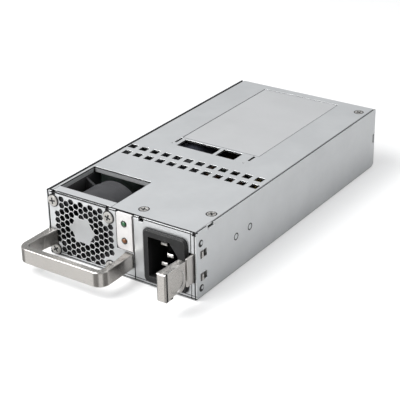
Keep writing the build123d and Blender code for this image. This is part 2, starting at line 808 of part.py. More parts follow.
def lamp_at(height):
    with BuildPart() as lamp:
        with BuildSketch(Plane((lamp_x, at_depth(0), height), x_dir=(0, 1, 0), z_dir=(1, 0, 0))):
            with BuildLine():
                dome = ThreePointArc(
                    (-plate_proud - lamp_radius * 0.6, 0),
                    (-plate_proud - lamp_radius * 0.42, lamp_radius * 0.7),
                    (-plate_proud + lamp_radius * 0.2, lamp_radius),
                )
                Polyline(
                    dome @ 1, (lamp_flange_front, lamp_radius), (lamp_flange_front, lamp_flange_radius),
                    (lamp_flange_front + lamp_flange_thickness, lamp_flange_radius),
                    (lamp_flange_front + lamp_flange_thickness, lamp_radius),
                    (lamp_back, lamp_radius), (lamp_back, 0), dome @ 0,
                )
            make_face()
        revolve(axis=Axis((lamp_x, at_depth(0), height), (0, 1, 0)))
    return lamp.part


with BuildPart() as led_green:
    add(lamp_at(lamp_heights[0]))
led_green.part.label = "led_green"
export_step(led_green.part, "parts/led_green.step")

with BuildPart() as led_amber:
    add(lamp_at(lamp_heights[1]))
led_amber.part.label = "led_amber"
export_step(led_amber.part, "parts/led_amber.step")

# Small board behind the lamps
with BuildPart() as status_board:
    with BuildSketch(front_plane(lamp_board_depth)):
        with Locations((lamp_x, (lamp_heights[0] + post_heights[1]) / 2)):
            Rectangle(seam_x - plate_left - 2 * sheet,
                lamp_heights[0] - post_heights[1] + 2 * lamp_flange_radius)
    extrude(amount=-lamp_board_thickness)
status_board.part.label = "status_board"
export_step(status_board.part, "parts/status_board.step")

# Handle: flat bar bent into a U, with feet that widen towards the panel
with BuildPart() as handle:
    with BuildSketch(Plane.XY.offset(handle_bottom)):
        front_edge = at_depth(-handle_reach)
        with BuildLine():
            outside = FilletPolyline(
                (handle_left, at_depth(0)), (handle_left, front_edge),
                (handle_right, front_edge), (handle_right, at_depth(0)), radius=handle_corner,
            )
            inside = FilletPolyline(
                (handle_left + handle_left_foot, at_depth(0)),
                (handle_left + handle_bar, at_depth(-handle_flare)),
                (handle_left + handle_bar, front_edge + handle_bar),
                (handle_right - handle_bar, front_edge + handle_bar),
                (handle_right - handle_bar, at_depth(-handle_flare)),
                (handle_right - handle_right_foot, at_depth(0)),
                radius=handle_corner - handle_bar,
            )
            Line(outside @ 0, inside @ 0)
            Line(outside @ 1, inside @ 1)
        make_face()
    extrude(amount=handle_height)
    rims = handle.edges().group_by(Axis.Z)[0] + handle.edges().group_by(Axis.Z)[-1]
    at_face = handle.edges().filter_by_position(Axis.Y, front_y - 0.01, front_y + 0.01)
    fillet([edge for edge in rims if edge not in at_face], radius=handle_edge)
    with BuildSketch(front_plane(0)):
        with Locations(*[(x, handle_bottom + handle_height / 2) for x in handle_screw_x]):
            Circle(handle_screw_radius)
    extrude(amount=handle_screw_length - sheet, mode=Mode.SUBTRACT)
handle.part.label = "handle"
export_step(handle.part, "parts/handle.step")

# Screws that hold the handle from inside the panel
with BuildPart() as handle_screws:
    handle_screw_places = [(x, handle_bottom + handle_height / 2) for x in handle_screw_x]
    with BuildSketch(front_plane(sheet)):
        with Locations(*handle_screw_places):
            Circle(handle_screw_head_radius)
    extrude(amount=-handle_screw_head_height)
    with BuildSketch(front_plane(sheet)):
        with Locations(*handle_screw_places):
            Circle(handle_screw_radius)
    extrude(amount=handle_screw_length)
handle_screws.part.label = "handle_screws"
export_step(handle_screws.part, "parts/handle_screws.step")

# Mains inlet: flange, body and the keyed cavity
with BuildPart() as inlet_body:
    with BuildSketch(front_plane(0)):
        with Locations((inlet_x, inlet_z)):
            RectangleRounded(inlet_flange_width, inlet_flange_height, inlet_flange_corner)
    extrude(amount=inlet_flange_thickness)
    chamfer(inlet_body.faces().sort_by(Axis.Y)[0].edges(), length=inlet_flange_bevel)
    with BuildSketch(front_plane(0)):
        with Locations((inlet_x, inlet_z)):
            RectangleRounded(inlet_body_width, inlet_body_height, inlet_body_corner)
    extrude(amount=-inlet_body_length)
    cavity_x = inlet_x + cavity_shift
    with BuildSketch(front_plane(-inlet_flange_thickness)) as cavity:
        with Locations((cavity_x, inlet_z)):
            Rectangle(cavity_width, cavity_height)
        # The earth side has both corners cut
        half_height = cavity_height / 2
        with Locations((cavity_x + cavity_width / 2, inlet_z)):
            for side in (-1, 1):
                Polygon(
                    (0, side * half_height), (-cavity_chamfer_width, side * half_height),
                    (0, side * (half_height - cavity_chamfer_height)), align=None, mode=Mode.SUBTRACT,
                )
    extrude(amount=-(cavity_depth + inlet_flange_thickness), mode=Mode.SUBTRACT)
    blade_places = (
        (blade_line_x, inlet_z + blade_spacing / 2),
        (blade_line_x + blade_earth_offset, inlet_z),
        (blade_line_x, inlet_z - blade_spacing / 2),
    )
    with BuildSketch(front_plane(0)):
        with Locations(*blade_places):
            Rectangle(blade_width, blade_height)
    extrude(amount=-inlet_body_length, mode=Mode.SUBTRACT)
inlet_body.part.label = "inlet_body"
export_step(inlet_body.part, "parts/inlet_body.step")

# Contact blades of the inlet: line, earth and neutral
with BuildPart() as inlet_blades:
    with BuildSketch(front_plane(blade_tip_depth)):
        with Locations(*blade_places):
            Rectangle(blade_width, blade_height)
    extrude(amount=-(inlet_body_length + blade_tail - blade_tip_depth))
    chamfer(inlet_blades.faces().group_by(Axis.Y)[0].edges(), length=0.4)
inlet_blades.part.label = "inlet_blades"
export_step(inlet_blades.part, "parts/inlet_blades.step")

# Wires from the blades down to the board
with BuildPart() as inlet_wires:
    for (across, height), drop in zip(blade_places, wire_drops):
        start = (across, at_depth(inlet_body_length + blade_tail), height)
        with BuildLine() as route:
            FilletPolyline(start, (across, at_depth(drop), height),
                (across, at_depth(drop), board_top), radius=wire_bend)
        with BuildSketch(Plane(start, z_dir=(0, 1, 0))):
            Circle(wire_radius)
        sweep(path=route.wire())
inlet_wires.part.label = "inlet_wires"
export_step(inlet_wires.part, "parts/inlet_wires.step")

# Latch lever: stiff strip with a wide part behind the panel, a jog at the front and two ramped lugs
with BuildPart() as latch_lever:
    lever_outer_x = lever_inner_x + lever_thickness
    with BuildSketch(side_plane(lever_inner_x)):
        with Locations((at_depth(lever_front), latch_z)):
            Rectangle(lever_rear - lever_front, lever_neck_height, align=(Align.MIN, Align.CENTER))
        with Locations((at_depth(lever_wide_front), latch_z)):
            Rectangle(lever_rear - lever_wide_front, lever_wide_height, align=(Align.MIN, Align.CENTER))
    extrude(amount=lever_thickness)
    # Jog and tongue that carry the thumb pad
    with Locations((lever_outer_x, at_depth(lever_front), latch_z)):
        Box(
            lever_outer_x - tongue_inner_x, lever_thickness, tongue_height,
            align=(Align.MAX, Align.MIN, Align.CENTER),
        )
    with Locations((tongue_inner_x, at_depth(tongue_front), latch_z)):
        Box(
            lever_thickness, lever_front + lever_thickness - tongue_front, tongue_height,
            align=(Align.MIN, Align.MIN, Align.CENTER),
        )
    # Lugs: blunt towards the front, sloping towards the rear
    for side in (-1, 1):
        lug_centre = latch_z + side * lug_spacing / 2
        with BuildSketch(Plane.XY.offset(lug_centre - lug_height / 2)):
            with BuildLine():
                Polyline(
                    (lever_outer_x, at_depth(lug_front)), (case_width / 2 + lug_reach,
                        at_depth(lug_front)),
                    (case_width / 2 + lug_reach, at_depth(lug_front + sheet)), (lever_outer_x,
                        at_depth(lug_rear)),
                    close=True,
                )
            make_face()
        extrude(amount=lug_height)
latch_lever.part.label = "latch_lever"
export_step(latch_lever.part, "parts/latch_lever.step")

# Thumb pad, seated on the tongue of the lever
with BuildPart() as latch_pad:
    pad_bottom = latch_z - lever_neck_height / 2
    with BuildSketch(Plane.XY.offset(pad_bottom)):
        with BuildLine():
            Polyline(
                (pad_outer_x, at_depth(pad_rear)), (pad_outer_x, at_depth(pad_front)),
                (pad_inner_front_x, at_depth(pad_front)), (pad_inner_rear_x,
                    at_depth(pad_rear)), close=True,
            )
        make_face()
    extrude(amount=lever_neck_height)
    heel = latch_pad.edges().filter_by(Axis.X, tolerance=1).group_by(Axis.Y)[-1].sort_by(Axis.Z)[0]
    fillet(heel, radius=pad_heel_radius)
    fillet(latch_pad.faces().sort_by(Axis.Y)[0].edges(), radius=pad_edge)
    with BuildSketch(side_plane(pad_outer_x)):
        with Locations((at_depth(pad_dimple_depth_y), latch_z)):
            Circle(pad_dimple_radius)
    extrude(amount=-pad_dimple_depth, mode=Mode.SUBTRACT)
    with Locations((tongue_inner_x, at_depth(tongue_front), latch_z)):
        Box(
            lever_thickness, pad_rear - tongue_front, tongue_height,
            align=(Align.MIN, Align.MIN, Align.CENTER), mode=Mode.SUBTRACT,
        )
    # Tool notch in the lower edge
    with Locations((pad_outer_x, at_depth(pad_notch_depth), pad_bottom)):
        Box(pad_notch_size[0], pad_notch_size[1], pad_notch_size[2],
            align=(Align.MAX, Align.CENTER, Align.MIN), mode=Mode.SUBTRACT)
latch_pad.part.label = "latch_pad"
export_step(latch_pad.part, "parts/latch_pad.step")

# Leaf spring between the lever and the wall, riveted to the wall at its rear
with BuildPart() as latch_spring:
    with BuildSketch(side_plane(inner_x)):
        with Locations((at_depth(leaf_front), leaf_bottom)):
            Rectangle(leaf_rear - leaf_front, leaf_height, align=(Align.MIN, Align.MIN))
        with Locations(*[(at_depth(d), latch_rivet_z) for d in latch_rivet_depths]):
            Circle(rivet_radius, mode=Mode.SUBTRACT)
    extrude(amount=-leaf_thickness)
latch_spring.part.label = "latch_spring"
export_step(latch_spring.part, "parts/latch_spring.step")

with BuildPart() as latch_rivets:
    rivet_places = [(at_depth(d), latch_rivet_z) for d in latch_rivet_depths]
    with BuildSketch(side_plane(case_width / 2)):
        with Locations(*rivet_places):
            Circle(rivet_radius)
    extrude(amount=-(sheet + leaf_thickness))
    with BuildSketch(side_plane(inner_x - leaf_thickness)):
        with Locations(*rivet_places):
            Circle(rivet_head_radius)
    extrude(amount=-rivet_head_height)
latch_rivets.part.label = "latch_rivets"
export_step(latch_rivets.part, "parts/latch_rivets.step")

# Fan frame: screw plate, round barrel with its rear collar, duct walls, gussets and motor mount
bore_radius = barrel_radius - barrel_wall
tube_radius = bearing_radius + tube_wall
with BuildPart() as fan_frame:
    duct_width = duct_right - duct_left
    duct_centre = (duct_left + duct_right) / 2
    with BuildSketch(front_plane(sheet)):
        with Locations((duct_centre, duct_bottom)):
            Rectangle(duct_width, under_cover - edge_gap - duct_bottom, align=(Align.CENTER, Align.MIN))
    extrude(amount=-fan_plate_thickness)
    # Duct walls at both sides
    with BuildSketch(front_plane(sheet)):
        with Locations((duct_left, duct_bottom)):
            Rectangle(duct_wall, duct_top - duct_bottom, align=(Align.MIN, Align.MIN))
        with Locations((duct_right, duct_bottom)):
            Rectangle(duct_wall, duct_top - duct_bottom, align=(Align.MAX, Align.MIN))
    extrude(amount=-(duct_end - sheet))
    # Gussets between the walls and the barrel
    with BuildSketch(front_plane(collar_end - gusset_thickness)):
        for wall_x, inward in ((duct_left + duct_wall / 2, 1), (duct_right - duct_wall / 2, -1)):
            for top, down in ((duct_top, -1), (duct_bottom, 1)):
                with BuildLine():
                    Polyline(
                        (wall_x, top), (wall_x, top + down * barrel_radius * 0.8),
                        (wall_x + inward * barrel_radius * 0.62,
                            top + down * barrel_radius * 0.4), close=True,
                    )
                make_face()
    extrude(amount=-gusset_thickness)
    # Screw bosses
    with BuildSketch(front_plane(sheet)):
        with Locations(*guard_places()):
            Circle(boss_radius)
    extrude(amount=-(boss_end - sheet))
    # Barrel and collar
    with BuildSketch(front_plane(sheet)):
        with Locations((fan_x, fan_z)):
            Circle(barrel_radius)
    extrude(amount=-(barrel_end - sheet))
    with BuildSketch(front_plane(barrel_end)):
        with Locations((fan_x, fan_z)):
            Circle(collar_radius)
    extrude(amount=-(collar_end - barrel_end))
    with BuildSketch(front_plane(sheet)):
        with Locations((fan_x, fan_z)):
            Circle(bore_radius)
    extrude(amount=-(barrel_end - sheet), mode=Mode.SUBTRACT)
    with BuildSketch(front_plane(barrel_end)):
        with Locations((fan_x, fan_z)):
            Circle(collar_radius - barrel_wall)
    extrude(amount=-(collar_end - barrel_end), mode=Mode.SUBTRACT)
    # Motor mount: struts, base disc and bearing tube
    with BuildSketch(front_plane(collar_end - motor_base_thickness)):
        with Locations((fan_x, fan_z)):
            with PolarLocations(0, strut_count, start_angle=45):
                Rectangle(collar_radius - barrel_wall / 2, strut_width, align=(Align.MIN, Align.CENTER))
            Circle(motor_base_radius)
    extrude(amount=-motor_base_thickness)
    with BuildSketch(front_plane(hub_front + hub_wall + edge_gap)):
        with Locations((fan_x, fan_z)):
            Circle(tube_radius)
    extrude(amount=-(collar_end - hub_front - hub_wall - edge_gap))
    with BuildSketch(front_plane(hub_front)):
        with Locations((fan_x, fan_z)):
            Circle(bearing_radius)
    extrude(amount=-(collar_end - hub_front), mode=Mode.SUBTRACT)
    # Screw pilot holes, and room for the head of the left handle screw
    with BuildSketch(front_plane(sheet)):
        with Locations(*guard_places()):
            Circle(guard_shank_radius)
    extrude(amount=-(guard_shank_length - sheet + edge_gap), mode=Mode.SUBTRACT)
    with BuildSketch(front_plane(sheet)):
        with Locations((handle_screw_x[0], handle_bottom + handle_height / 2)):
            Circle(handle_screw_head_radius + edge_gap)
    extrude(amount=-(handle_screw_head_height + edge_gap), mode=Mode.SUBTRACT)
    # Pockets for the heads of the panel rivets
    with BuildSketch(side_plane(-(panel_x - sheet))):
        with Locations(*[(at_depth(rivet_depth), z) for z in fan_rivet_heights]):
            Circle(rivet_head_radius + edge_gap)
    extrude(amount=rivet_head_height + edge_gap, mode=Mode.SUBTRACT)
fan_frame.part.label = "fan_frame"
export_step(fan_frame.part, "parts/fan_frame.step")

# Fan rotor: hub cup with twisted blades
cup_radius = hub_radius - hub_wall
blade_tip_radius = bore_radius - blade_clearance


# Flat section of a blade at one radius, pitched about the radial line.
def blade_section(radius, pitch):
    middle = (fan_x + radius, at_depth((hub_front + hub_rear) / 2), fan_z)
    with BuildSketch(Plane(middle, x_dir=(0, 1, 0), z_dir=(1, 0, 0))) as section:
        Rectangle(blade_chord, blade_thickness, rotation=pitch)
    return section.sketch


with BuildPart() as fan_blade:
    loft([
        blade_section(hub_radius - hub_wall / 2, blade_root_pitch),
        blade_section(blade_tip_radius, blade_tip_pitch),
    ], ruled=True)
    with BuildSketch(front_plane(0)):
        with Locations((fan_x, fan_z)):
            Circle(blade_tip_radius)
    extrude(amount=-barrel_end, mode=Mode.INTERSECT)

with BuildPart() as fan_rotor:
    with BuildSketch(front_plane(hub_front)):
        with Locations((fan_x, fan_z)):
            Circle(hub_radius)
    extrude(amount=-(hub_rear - hub_front))
    fillet(fan_rotor.faces().sort_by(Axis.Y)[0].edges(), radius=hub_wall)
    with BuildSketch(front_plane(hub_front + hub_wall)):
        with Locations((fan_x, fan_z)):
            Circle(cup_radius)
    extrude(amount=-(hub_rear - hub_front - hub_wall), mode=Mode.SUBTRACT)
    with BuildSketch(front_plane(hub_front)):
        with Locations((fan_x, fan_z)):
            Circle(shaft_radius)
    extrude(amount=-hub_wall, mode=Mode.SUBTRACT)
    for index in range(blade_count):
        add(fan_blade.part.rotate(fan_axis, index * 360 / blade_count))
fan_rotor.part.label = "fan_rotor"
export_step(fan_rotor.part, "parts/fan_rotor.step")

# Ring magnet inside the hub
with BuildPart() as fan_magnet:
    with BuildSketch(front_plane(hub_front + hub_wall + magnet_thickness)):
        with Locations((fan_x, fan_z)):
            Circle(cup_radius)
            Circle(cup_radius - magnet_thickness, mode=Mode.SUBTRACT)
    extrude(amount=-(hub_rear - hub_front - hub_wall - 2 * magnet_thickness))
fan_magnet.part.label = "fan_magnet"
export_step(fan_magnet.part, "parts/fan_magnet.step")

# Shaft, pressed into the hub
with BuildPart() as fan_shaft:
    with BuildSketch(front_plane(hub_front)):
        with Locations((fan_x, fan_z)):
            Circle(shaft_radius)
    extrude(amount=-(collar_end - hub_front - edge_gap))
fan_shaft.part.label = "fan_shaft"
export_step(fan_shaft.part, "parts/fan_shaft.step")

# Two bearings in the tube of the frame
with BuildPart() as fan_bearings:
    for bearing_front in (hub_front + hub_wall + 2 * edge_gap, collar_end - bearing_length - edge_gap):
        with BuildSketch(front_plane(bearing_front)):
            with Locations((fan_x, fan_z)):
                Circle(bearing_radius)
                Circle(shaft_radius + shaft_fit, mode=Mode.SUBTRACT)
        extrude(amount=-bearing_length)
fan_bearings.part.label = "fan_bearings"
export_step(fan_bearings.part, "parts/fan_bearings.step")

# Stator on the bearing tube
with BuildPart() as fan_stator:
    stator_radius = cup_radius - magnet_thickness - magnet_air_gap
    with BuildSketch(front_plane(hub_front + hub_wall + 2 * magnet_thickness)):
        with Locations((fan_x, fan_z)):
            Circle(stator_radius)
            with PolarLocations(stator_radius * 0.78, stator_poles, start_angle=45):
                Circle(stator_radius * 0.2, mode=Mode.SUBTRACT)
            Circle(tube_radius, mode=Mode.SUBTRACT)
    extrude(amount=-(hub_rear - hub_front - hub_wall - 4 * magnet_thickness))
fan_stator.part.label = "fan_stator"
export_step(fan_stator.part, "parts/fan_stator.step")

# Insulating sheet on the floor
with BuildPart() as insulator_sheet:
    with BuildSketch(Plane.XY.offset(sheet)):
        with Locations((0, at_depth(duct_end + 2 * sheet))):
            Rectangle(
                2 * (board_half_width + sheet), board_rear - duct_end - 8 * sheet - hem_chamfer,
                align=(Align.CENTER, Align.MIN),
            )
        with Locations(*[(x, at_depth(d)) for x, d in board_holes]):
            Circle(standoff_radius + edge_gap, mode=Mode.SUBTRACT)
    extrude(amount=insulator_thickness)
insulator_sheet.part.label = "insulator_sheet"
export_step(insulator_sheet.part, "parts/insulator_sheet.step")

# Main board with a wing beside the fan duct and a card-edge tongue at the rear
with BuildPart() as main_board:
    with BuildSketch(Plane.XY.offset(board_bottom)):
        with Locations((0, at_depth(board_front))):
            Rectangle(2 * board_half_width, board_rear - board_front, align=(Align.CENTER, Align.MIN))
        with Locations((board_half_width, at_depth(board_wing_front))):
            Rectangle(board_half_width - board_wing_left, board_front - board_wing_front,
                align=(Align.MAX, Align.MIN))
        with Locations((0, at_depth(board_rear))):
            Rectangle(2 * tongue_half_width, tongue_rear - board_rear, align=(Align.CENTER, Align.MIN))
        with Locations(*[(x, at_depth(d)) for x, d in board_holes]):
            Circle(board_screw_radius, mode=Mode.SUBTRACT)
    extrude(amount=board_thickness)
main_board.part.label = "main_board"
export_step(main_board.part, "parts/main_board.step")

# Gold fingers on both faces of the tongue
with BuildPart() as edge_contacts:
    for finger_bottom in (board_top, board_bottom - finger_thickness):
        with BuildSketch(Plane.XY.offset(finger_bottom)):
            with Locations((0, at_depth(tongue_rear - finger_length / 2 - sheet))):
                with GridLocations((2 * tongue_half_width - finger_width) / finger_count, 0,
                    finger_count, 1):
                    Rectangle(finger_width, finger_length)
        extrude(amount=finger_thickness)
edge_contacts.part.label = "edge_contacts"
export_step(edge_contacts.part, "parts/edge_contacts.step")

# Standoffs pressed into the floor
with BuildPart() as board_standoffs:
    standoff_places = [(x, at_depth(d)) for x, d in board_holes]
    with BuildSketch(Plane.XY):
        with Locations(*standoff_places):
            Circle(standoff_root_radius)
    extrude(amount=sheet)
    with BuildSketch(Plane.XY.offset(sheet)):
        with Locations(*standoff_places):
            Circle(standoff_radius)
    extrude(amount=board_bottom - sheet)
    with BuildSketch(Plane.XY.offset(sheet)):
        with Locations(*standoff_places):
            Circle(board_screw_radius)
    extrude(amount=board_bottom - sheet, mode=Mode.SUBTRACT)
board_standoffs.part.label = "board_standoffs"
export_step(board_standoffs.part, "parts/board_standoffs.step")

# Screws of the main board
with BuildPart() as board_screws:
    with BuildSketch(Plane.XY.offset(board_top)):
        with Locations(*standoff_places):
            Circle(board_screw_head_radius)
    extrude(amount=board_screw_head_height)
    with BuildSketch(Plane.XY.offset(board_top)):
        with Locations(*standoff_places):
            Circle(board_screw_radius)
    extrude(amount=-(board_top - sheet - insulator_thickness))
board_screws.part.label = "board_screws"
export_step(board_screws.part, "parts/board_screws.step")


# Place on top of the main board.
def on_board(place, lift=0.0):
    return (place[0], at_depth(place[1]), board_top + lift)


# Annulus in the current sketch, for the toroidal chokes.
def choke_plane(place, outer_radius, width):
    return Plane(
        (place[0], at_depth(place[1]) - width / 2, board_top + outer_radius + winding_wall),
        x_dir=(1, 0, 0), z_dir=(0, 1, 0),
    )


# Ferrite ring of a choke that stands on edge.
def choke_core(place, radii, width):
    with BuildPart() as core:
        with BuildSketch(choke_plane(place, radii[0], width)):
            Circle(radii[0])
            Circle(radii[1], mode=Mode.SUBTRACT)
        extrude(amount=width)
    return core.part


# Windings round that ring: separate sectors with a gap between them.
def choke_windings(place, radii, width, sectors, sector_angle):
    with BuildPart() as windings:
        with BuildSketch(choke_plane(place, radii[0], width + 2 * winding_wall)):
            Circle(radii[0] + winding_wall)
            Circle(radii[1] - winding_wall, mode=Mode.SUBTRACT)
        extrude(amount=width + 2 * winding_wall)
        with BuildSketch(choke_plane(place, radii[0], width)):
            Circle(radii[0])
            Circle(radii[1], mode=Mode.SUBTRACT)
        extrude(amount=width, mode=Mode.SUBTRACT)
        gap_angle = 360 / sectors - sector_angle
        reach = 2 * radii[0]
        half = reach * math.tan(math.radians(gap_angle / 2))
        with BuildSketch(choke_plane(place, radii[0], width + 2 * winding_wall)):
            with PolarLocations(0, sectors, start_angle=90):
                Polygon((0, 0), (reach, half), (reach, -half), align=None)
        extrude(amount=width + 2 * winding_wall, mode=Mode.SUBTRACT)
    return windings.part


# Heatsink: upright plate with fins on one side, extruded along the airflow.
def heatsink(place, length, fin_side):
    with BuildPart() as sink:
        with BuildSketch(front_plane(place[1] - length / 2)):
            with Locations((place[0], board_top)):
                Rectangle(sink_base, sink_height, align=(Align.CENTER, Align.MIN))
            with Locations((place[0] + fin_side * (sink_base + sink_fin_length) / 2,
                board_top + sink_height / 2)):
                with GridLocations(0, (sink_height - sink_fin) / (sink_fin_count - 1), 1, sink_fin_count):
                    Rectangle(sink_fin_length, sink_fin)
        extrude(amount=-length)
    return sink.part


# Power transistors on the flat side of a heatsink.
def transistors(place, depths, flat_side):
    with BuildPart() as packages:
        middle = place[0] + flat_side * (sink_base + transistor_size[0]) / 2
        with Locations(*[on_board((middle, depth), transistor_lift) for depth in depths]):
            Box(*transistor_size, align=ON_BASE)
        with Locations(*[on_board((middle, depth)) for depth in depths]):
            with GridLocations(0, transistor_size[1] / 3, 1, 3):
                Box(0.8, 1.2, transistor_lift, align=ON_BASE)
    return packages.part


# Line filter choke
with BuildPart() as filter_choke_core:
    add(choke_core(filter_choke_place, filter_choke_radii, filter_choke_width))
filter_choke_core.part.label = "filter_choke_core"
export_step(filter_choke_core.part, "parts/filter_choke_core.step")

with BuildPart() as filter_choke_windings:
    add(choke_windings(filter_choke_place, filter_choke_radii, filter_choke_width, 2, 150))
filter_choke_windings.part.label = "filter_choke_windings"
export_step(filter_choke_windings.part, "parts/filter_choke_windings.step")

# Film capacitors across the line
with BuildPart() as x_capacitors:
    with Locations(*[on_board(place) for place in x_capacitor_places]):
        Box(*x_capacitor_size, align=ON_BASE)
    fillet(x_capacitors.edges().filter_by(Axis.Z), radius=0.8)
x_capacitors.part.label = "x_capacitors"
export_step(x_capacitors.part, "parts/x_capacitors.step")

# Ceramic disc capacitors to earth
with BuildPart() as y_capacitors:
    for place in y_capacitor_places:
        with BuildSketch(front_plane(place[1] - y_capacitor_thickness / 2)):
            with Locations((place[0], board_top + y_capacitor_radius)):
                Circle(y_capacitor_radius)
        extrude(amount=-y_capacitor_thickness)
    fillet(y_capacitors.edges().filter_by(GeomType.CIRCLE), radius=0.9)
y_capacitors.part.label = "y_capacitors"
export_step(y_capacitors.part, "parts/y_capacitors.step")

# Line fuse in its two clips
with BuildPart() as fuse:
    with BuildSketch(front_plane(fuse_place[1] - fuse_length / 2)):
        with Locations((fuse_place[0], board_top + fuse_height)):
            Circle(fuse_radius * 0.9)
    extrude(amount=-fuse_length)
    for end in (-1, 1):
        with Locations(on_board((fuse_place[0], fuse_place[1] + end * fuse_length * 0.36))):
            Box(2 * fuse_radius, fuse_length * 0.22, fuse_height + fuse_radius, align=ON_BASE)
fuse.part.label = "fuse"
export_step(fuse.part, "parts/fuse.step")

# Bridge rectifier
with BuildPart() as bridge_rectifier:
    with Locations(on_board(bridge_place, transistor_lift)):
        Box(*bridge_size, align=ON_BASE)
    fillet(bridge_rectifier.edges().filter_by(Axis.Y), radius=1.0)
    with Locations(on_board(bridge_place)):
        with GridLocations(bridge_size[0] / 4.4, 0, 4, 1):
            Box(1.2, 0.8, transistor_lift, align=ON_BASE)
bridge_rectifier.part.label = "bridge_rectifier"
export_step(bridge_rectifier.part, "parts/bridge_rectifier.step")

# Boost choke, seen through the slot of the cover
with BuildPart() as boost_choke_core:
    add(choke_core(boost_choke_place, boost_choke_radii, boost_choke_width))
boost_choke_core.part.label = "boost_choke_core"
export_step(boost_choke_core.part, "parts/boost_choke_core.step")

with BuildPart() as boost_choke_winding:
    add(choke_windings(boost_choke_place, boost_choke_radii, boost_choke_width, 1, 325))
boost_choke_winding.part.label = "boost_choke_winding"
export_step(boost_choke_winding.part, "parts/boost_choke_winding.step")

# Bulk capacitor lying along the case, with its rolled groove
with BuildPart() as bulk_capacitor:
    capacitor_z = board_top + bulk_capacitor_radius
    with BuildSketch(front_plane(bulk_capacitor_place[1])):
        with Locations((bulk_capacitor_place[0], capacitor_z)):
            Circle(bulk_capacitor_radius)
    extrude(amount=-bulk_capacitor_length)
    fillet(bulk_capacitor.edges().filter_by(GeomType.CIRCLE), radius=1.4)
    with BuildSketch(front_plane(bulk_capacitor_place[1] + bulk_capacitor_length * 0.9)):
        with Locations((bulk_capacitor_place[0], capacitor_z)):
            Circle(bulk_capacitor_radius + bulk_groove)
            Circle(bulk_capacitor_radius - bulk_groove, mode=Mode.SUBTRACT)
    extrude(amount=-2 * bulk_groove, mode=Mode.SUBTRACT)
bulk_capacitor.part.label = "bulk_capacitor"
export_step(bulk_capacitor.part, "parts/bulk_capacitor.step")

# Primary side heatsink and its transistors
with BuildPart() as primary_heatsink:
    add(heatsink(primary_sink_place, primary_sink_length, 1))
primary_heatsink.part.label = "primary_heatsink"
export_step(primary_heatsink.part, "parts/primary_heatsink.step")

with BuildPart() as primary_transistors:
    add(transistors(primary_sink_place, primary_transistor_depths, -1))
primary_transistors.part.label = "primary_transistors"
export_step(primary_transistors.part, "parts/primary_transistors.step")

# Main transformer: ferrite core round a wound coil
with BuildPart() as transformer_core:
    with Locations(on_board(transformer_place)):
        Box(
            transformer_core_size[0], transformer_core_size[1], transformer_core_size[2],
            align=ON_BASE,
        )
        Box(
            transformer_core_size[0] - 2 * transformer_core_yoke, transformer_core_size[1],
            transformer_coil_size[2],
            align=ON_BASE, mode=Mode.SUBTRACT,
        )
        Box(transformer_leg, transformer_core_size[1], transformer_coil_size[2], align=ON_BASE)
transformer_core.part.label = "transformer_core"
export_step(transformer_core.part, "parts/transformer_core.step")

with BuildPart() as transformer_coil:
    with Locations(on_board(transformer_place)):
        Box(
            transformer_core_size[0] - 2 * transformer_core_yoke, transformer_coil_size[1],
            transformer_coil_size[2],
            align=ON_BASE,
        )
    fillet(transformer_coil.edges().filter_by(Axis.Z), radius=2.5)
    with Locations(on_board(transformer_place)):
        Box(
            transformer_leg, transformer_core_size[1], transformer_coil_size[2],
            align=ON_BASE, mode=Mode.SUBTRACT,
        )
transformer_coil.part.label = "transformer_coil"
export_step(transformer_coil.part, "parts/transformer_coil.step")

# Secondary side heatsink and its rectifying transistors
with BuildPart() as secondary_heatsink:
    add(heatsink(secondary_sink_place, secondary_sink_length, -1))
secondary_heatsink.part.label = "secondary_heatsink"
export_step(secondary_heatsink.part, "parts/secondary_heatsink.step")

with BuildPart() as secondary_transistors:
    add(transistors(secondary_sink_place, secondary_transistor_depths, 1))
secondary_transistors.part.label = "secondary_transistors"
export_step(secondary_transistors.part, "parts/secondary_transistors.step")

# Output choke, capacitors, standby transformer and control board
with BuildPart() as output_choke:
    with Locations(on_board(output_choke_place)):
        Box(*output_choke_size, align=ON_BASE)
    fillet(output_choke.edges().filter_by(Axis.Z), radius=1.5)
output_choke.part.label = "output_choke"
export_step(output_choke.part, "parts/output_choke.step")

with BuildPart() as output_capacitors:
    with BuildSketch(Plane.XY.offset(board_top)):
        with Locations((output_capacitor_place[0], at_depth(output_capacitor_place[1]))):
            with GridLocations(output_capacitor_pitch, output_capacitor_pitch, output_capacitor_columns,
                output_capacitor_rows):
                Circle(output_capacitor_radius)
    extrude(amount=output_capacitor_height)
    fillet(output_capacitors.edges().group_by(Axis.Z)[-1], radius=0.7)
output_capacitors.part.label = "output_capacitors"
export_step(output_capacitors.part, "parts/output_capacitors.step")

with BuildPart() as standby_transformer:
    with Locations(on_board(standby_place)):
        Box(*standby_size, align=ON_BASE)
    fillet(standby_transformer.edges().filter_by(Axis.Z), radius=1.0)
standby_transformer.part.label = "standby_transformer"
export_step(standby_transformer.part, "parts/standby_transformer.step")

with BuildPart() as control_board:
    with Locations(on_board(control_place)):
        Box(board_thickness, control_length, control_height, align=ON_BASE)
    chip_x = control_place[0] + (board_thickness + control_chip_size[0]) / 2
    with Locations(*[on_board((chip_x, depth), control_height / 3) for depth in control_chip_depths]):
        Box(*control_chip_size, align=ON_BASE)
control_board.part.label = "control_board"
export_step(control_board.part, "parts/control_board.step")
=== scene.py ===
"""Switching power supply module: finishes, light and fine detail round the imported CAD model."""
import json
import math

import bmesh
import bpy
from mathutils import Matrix, Vector


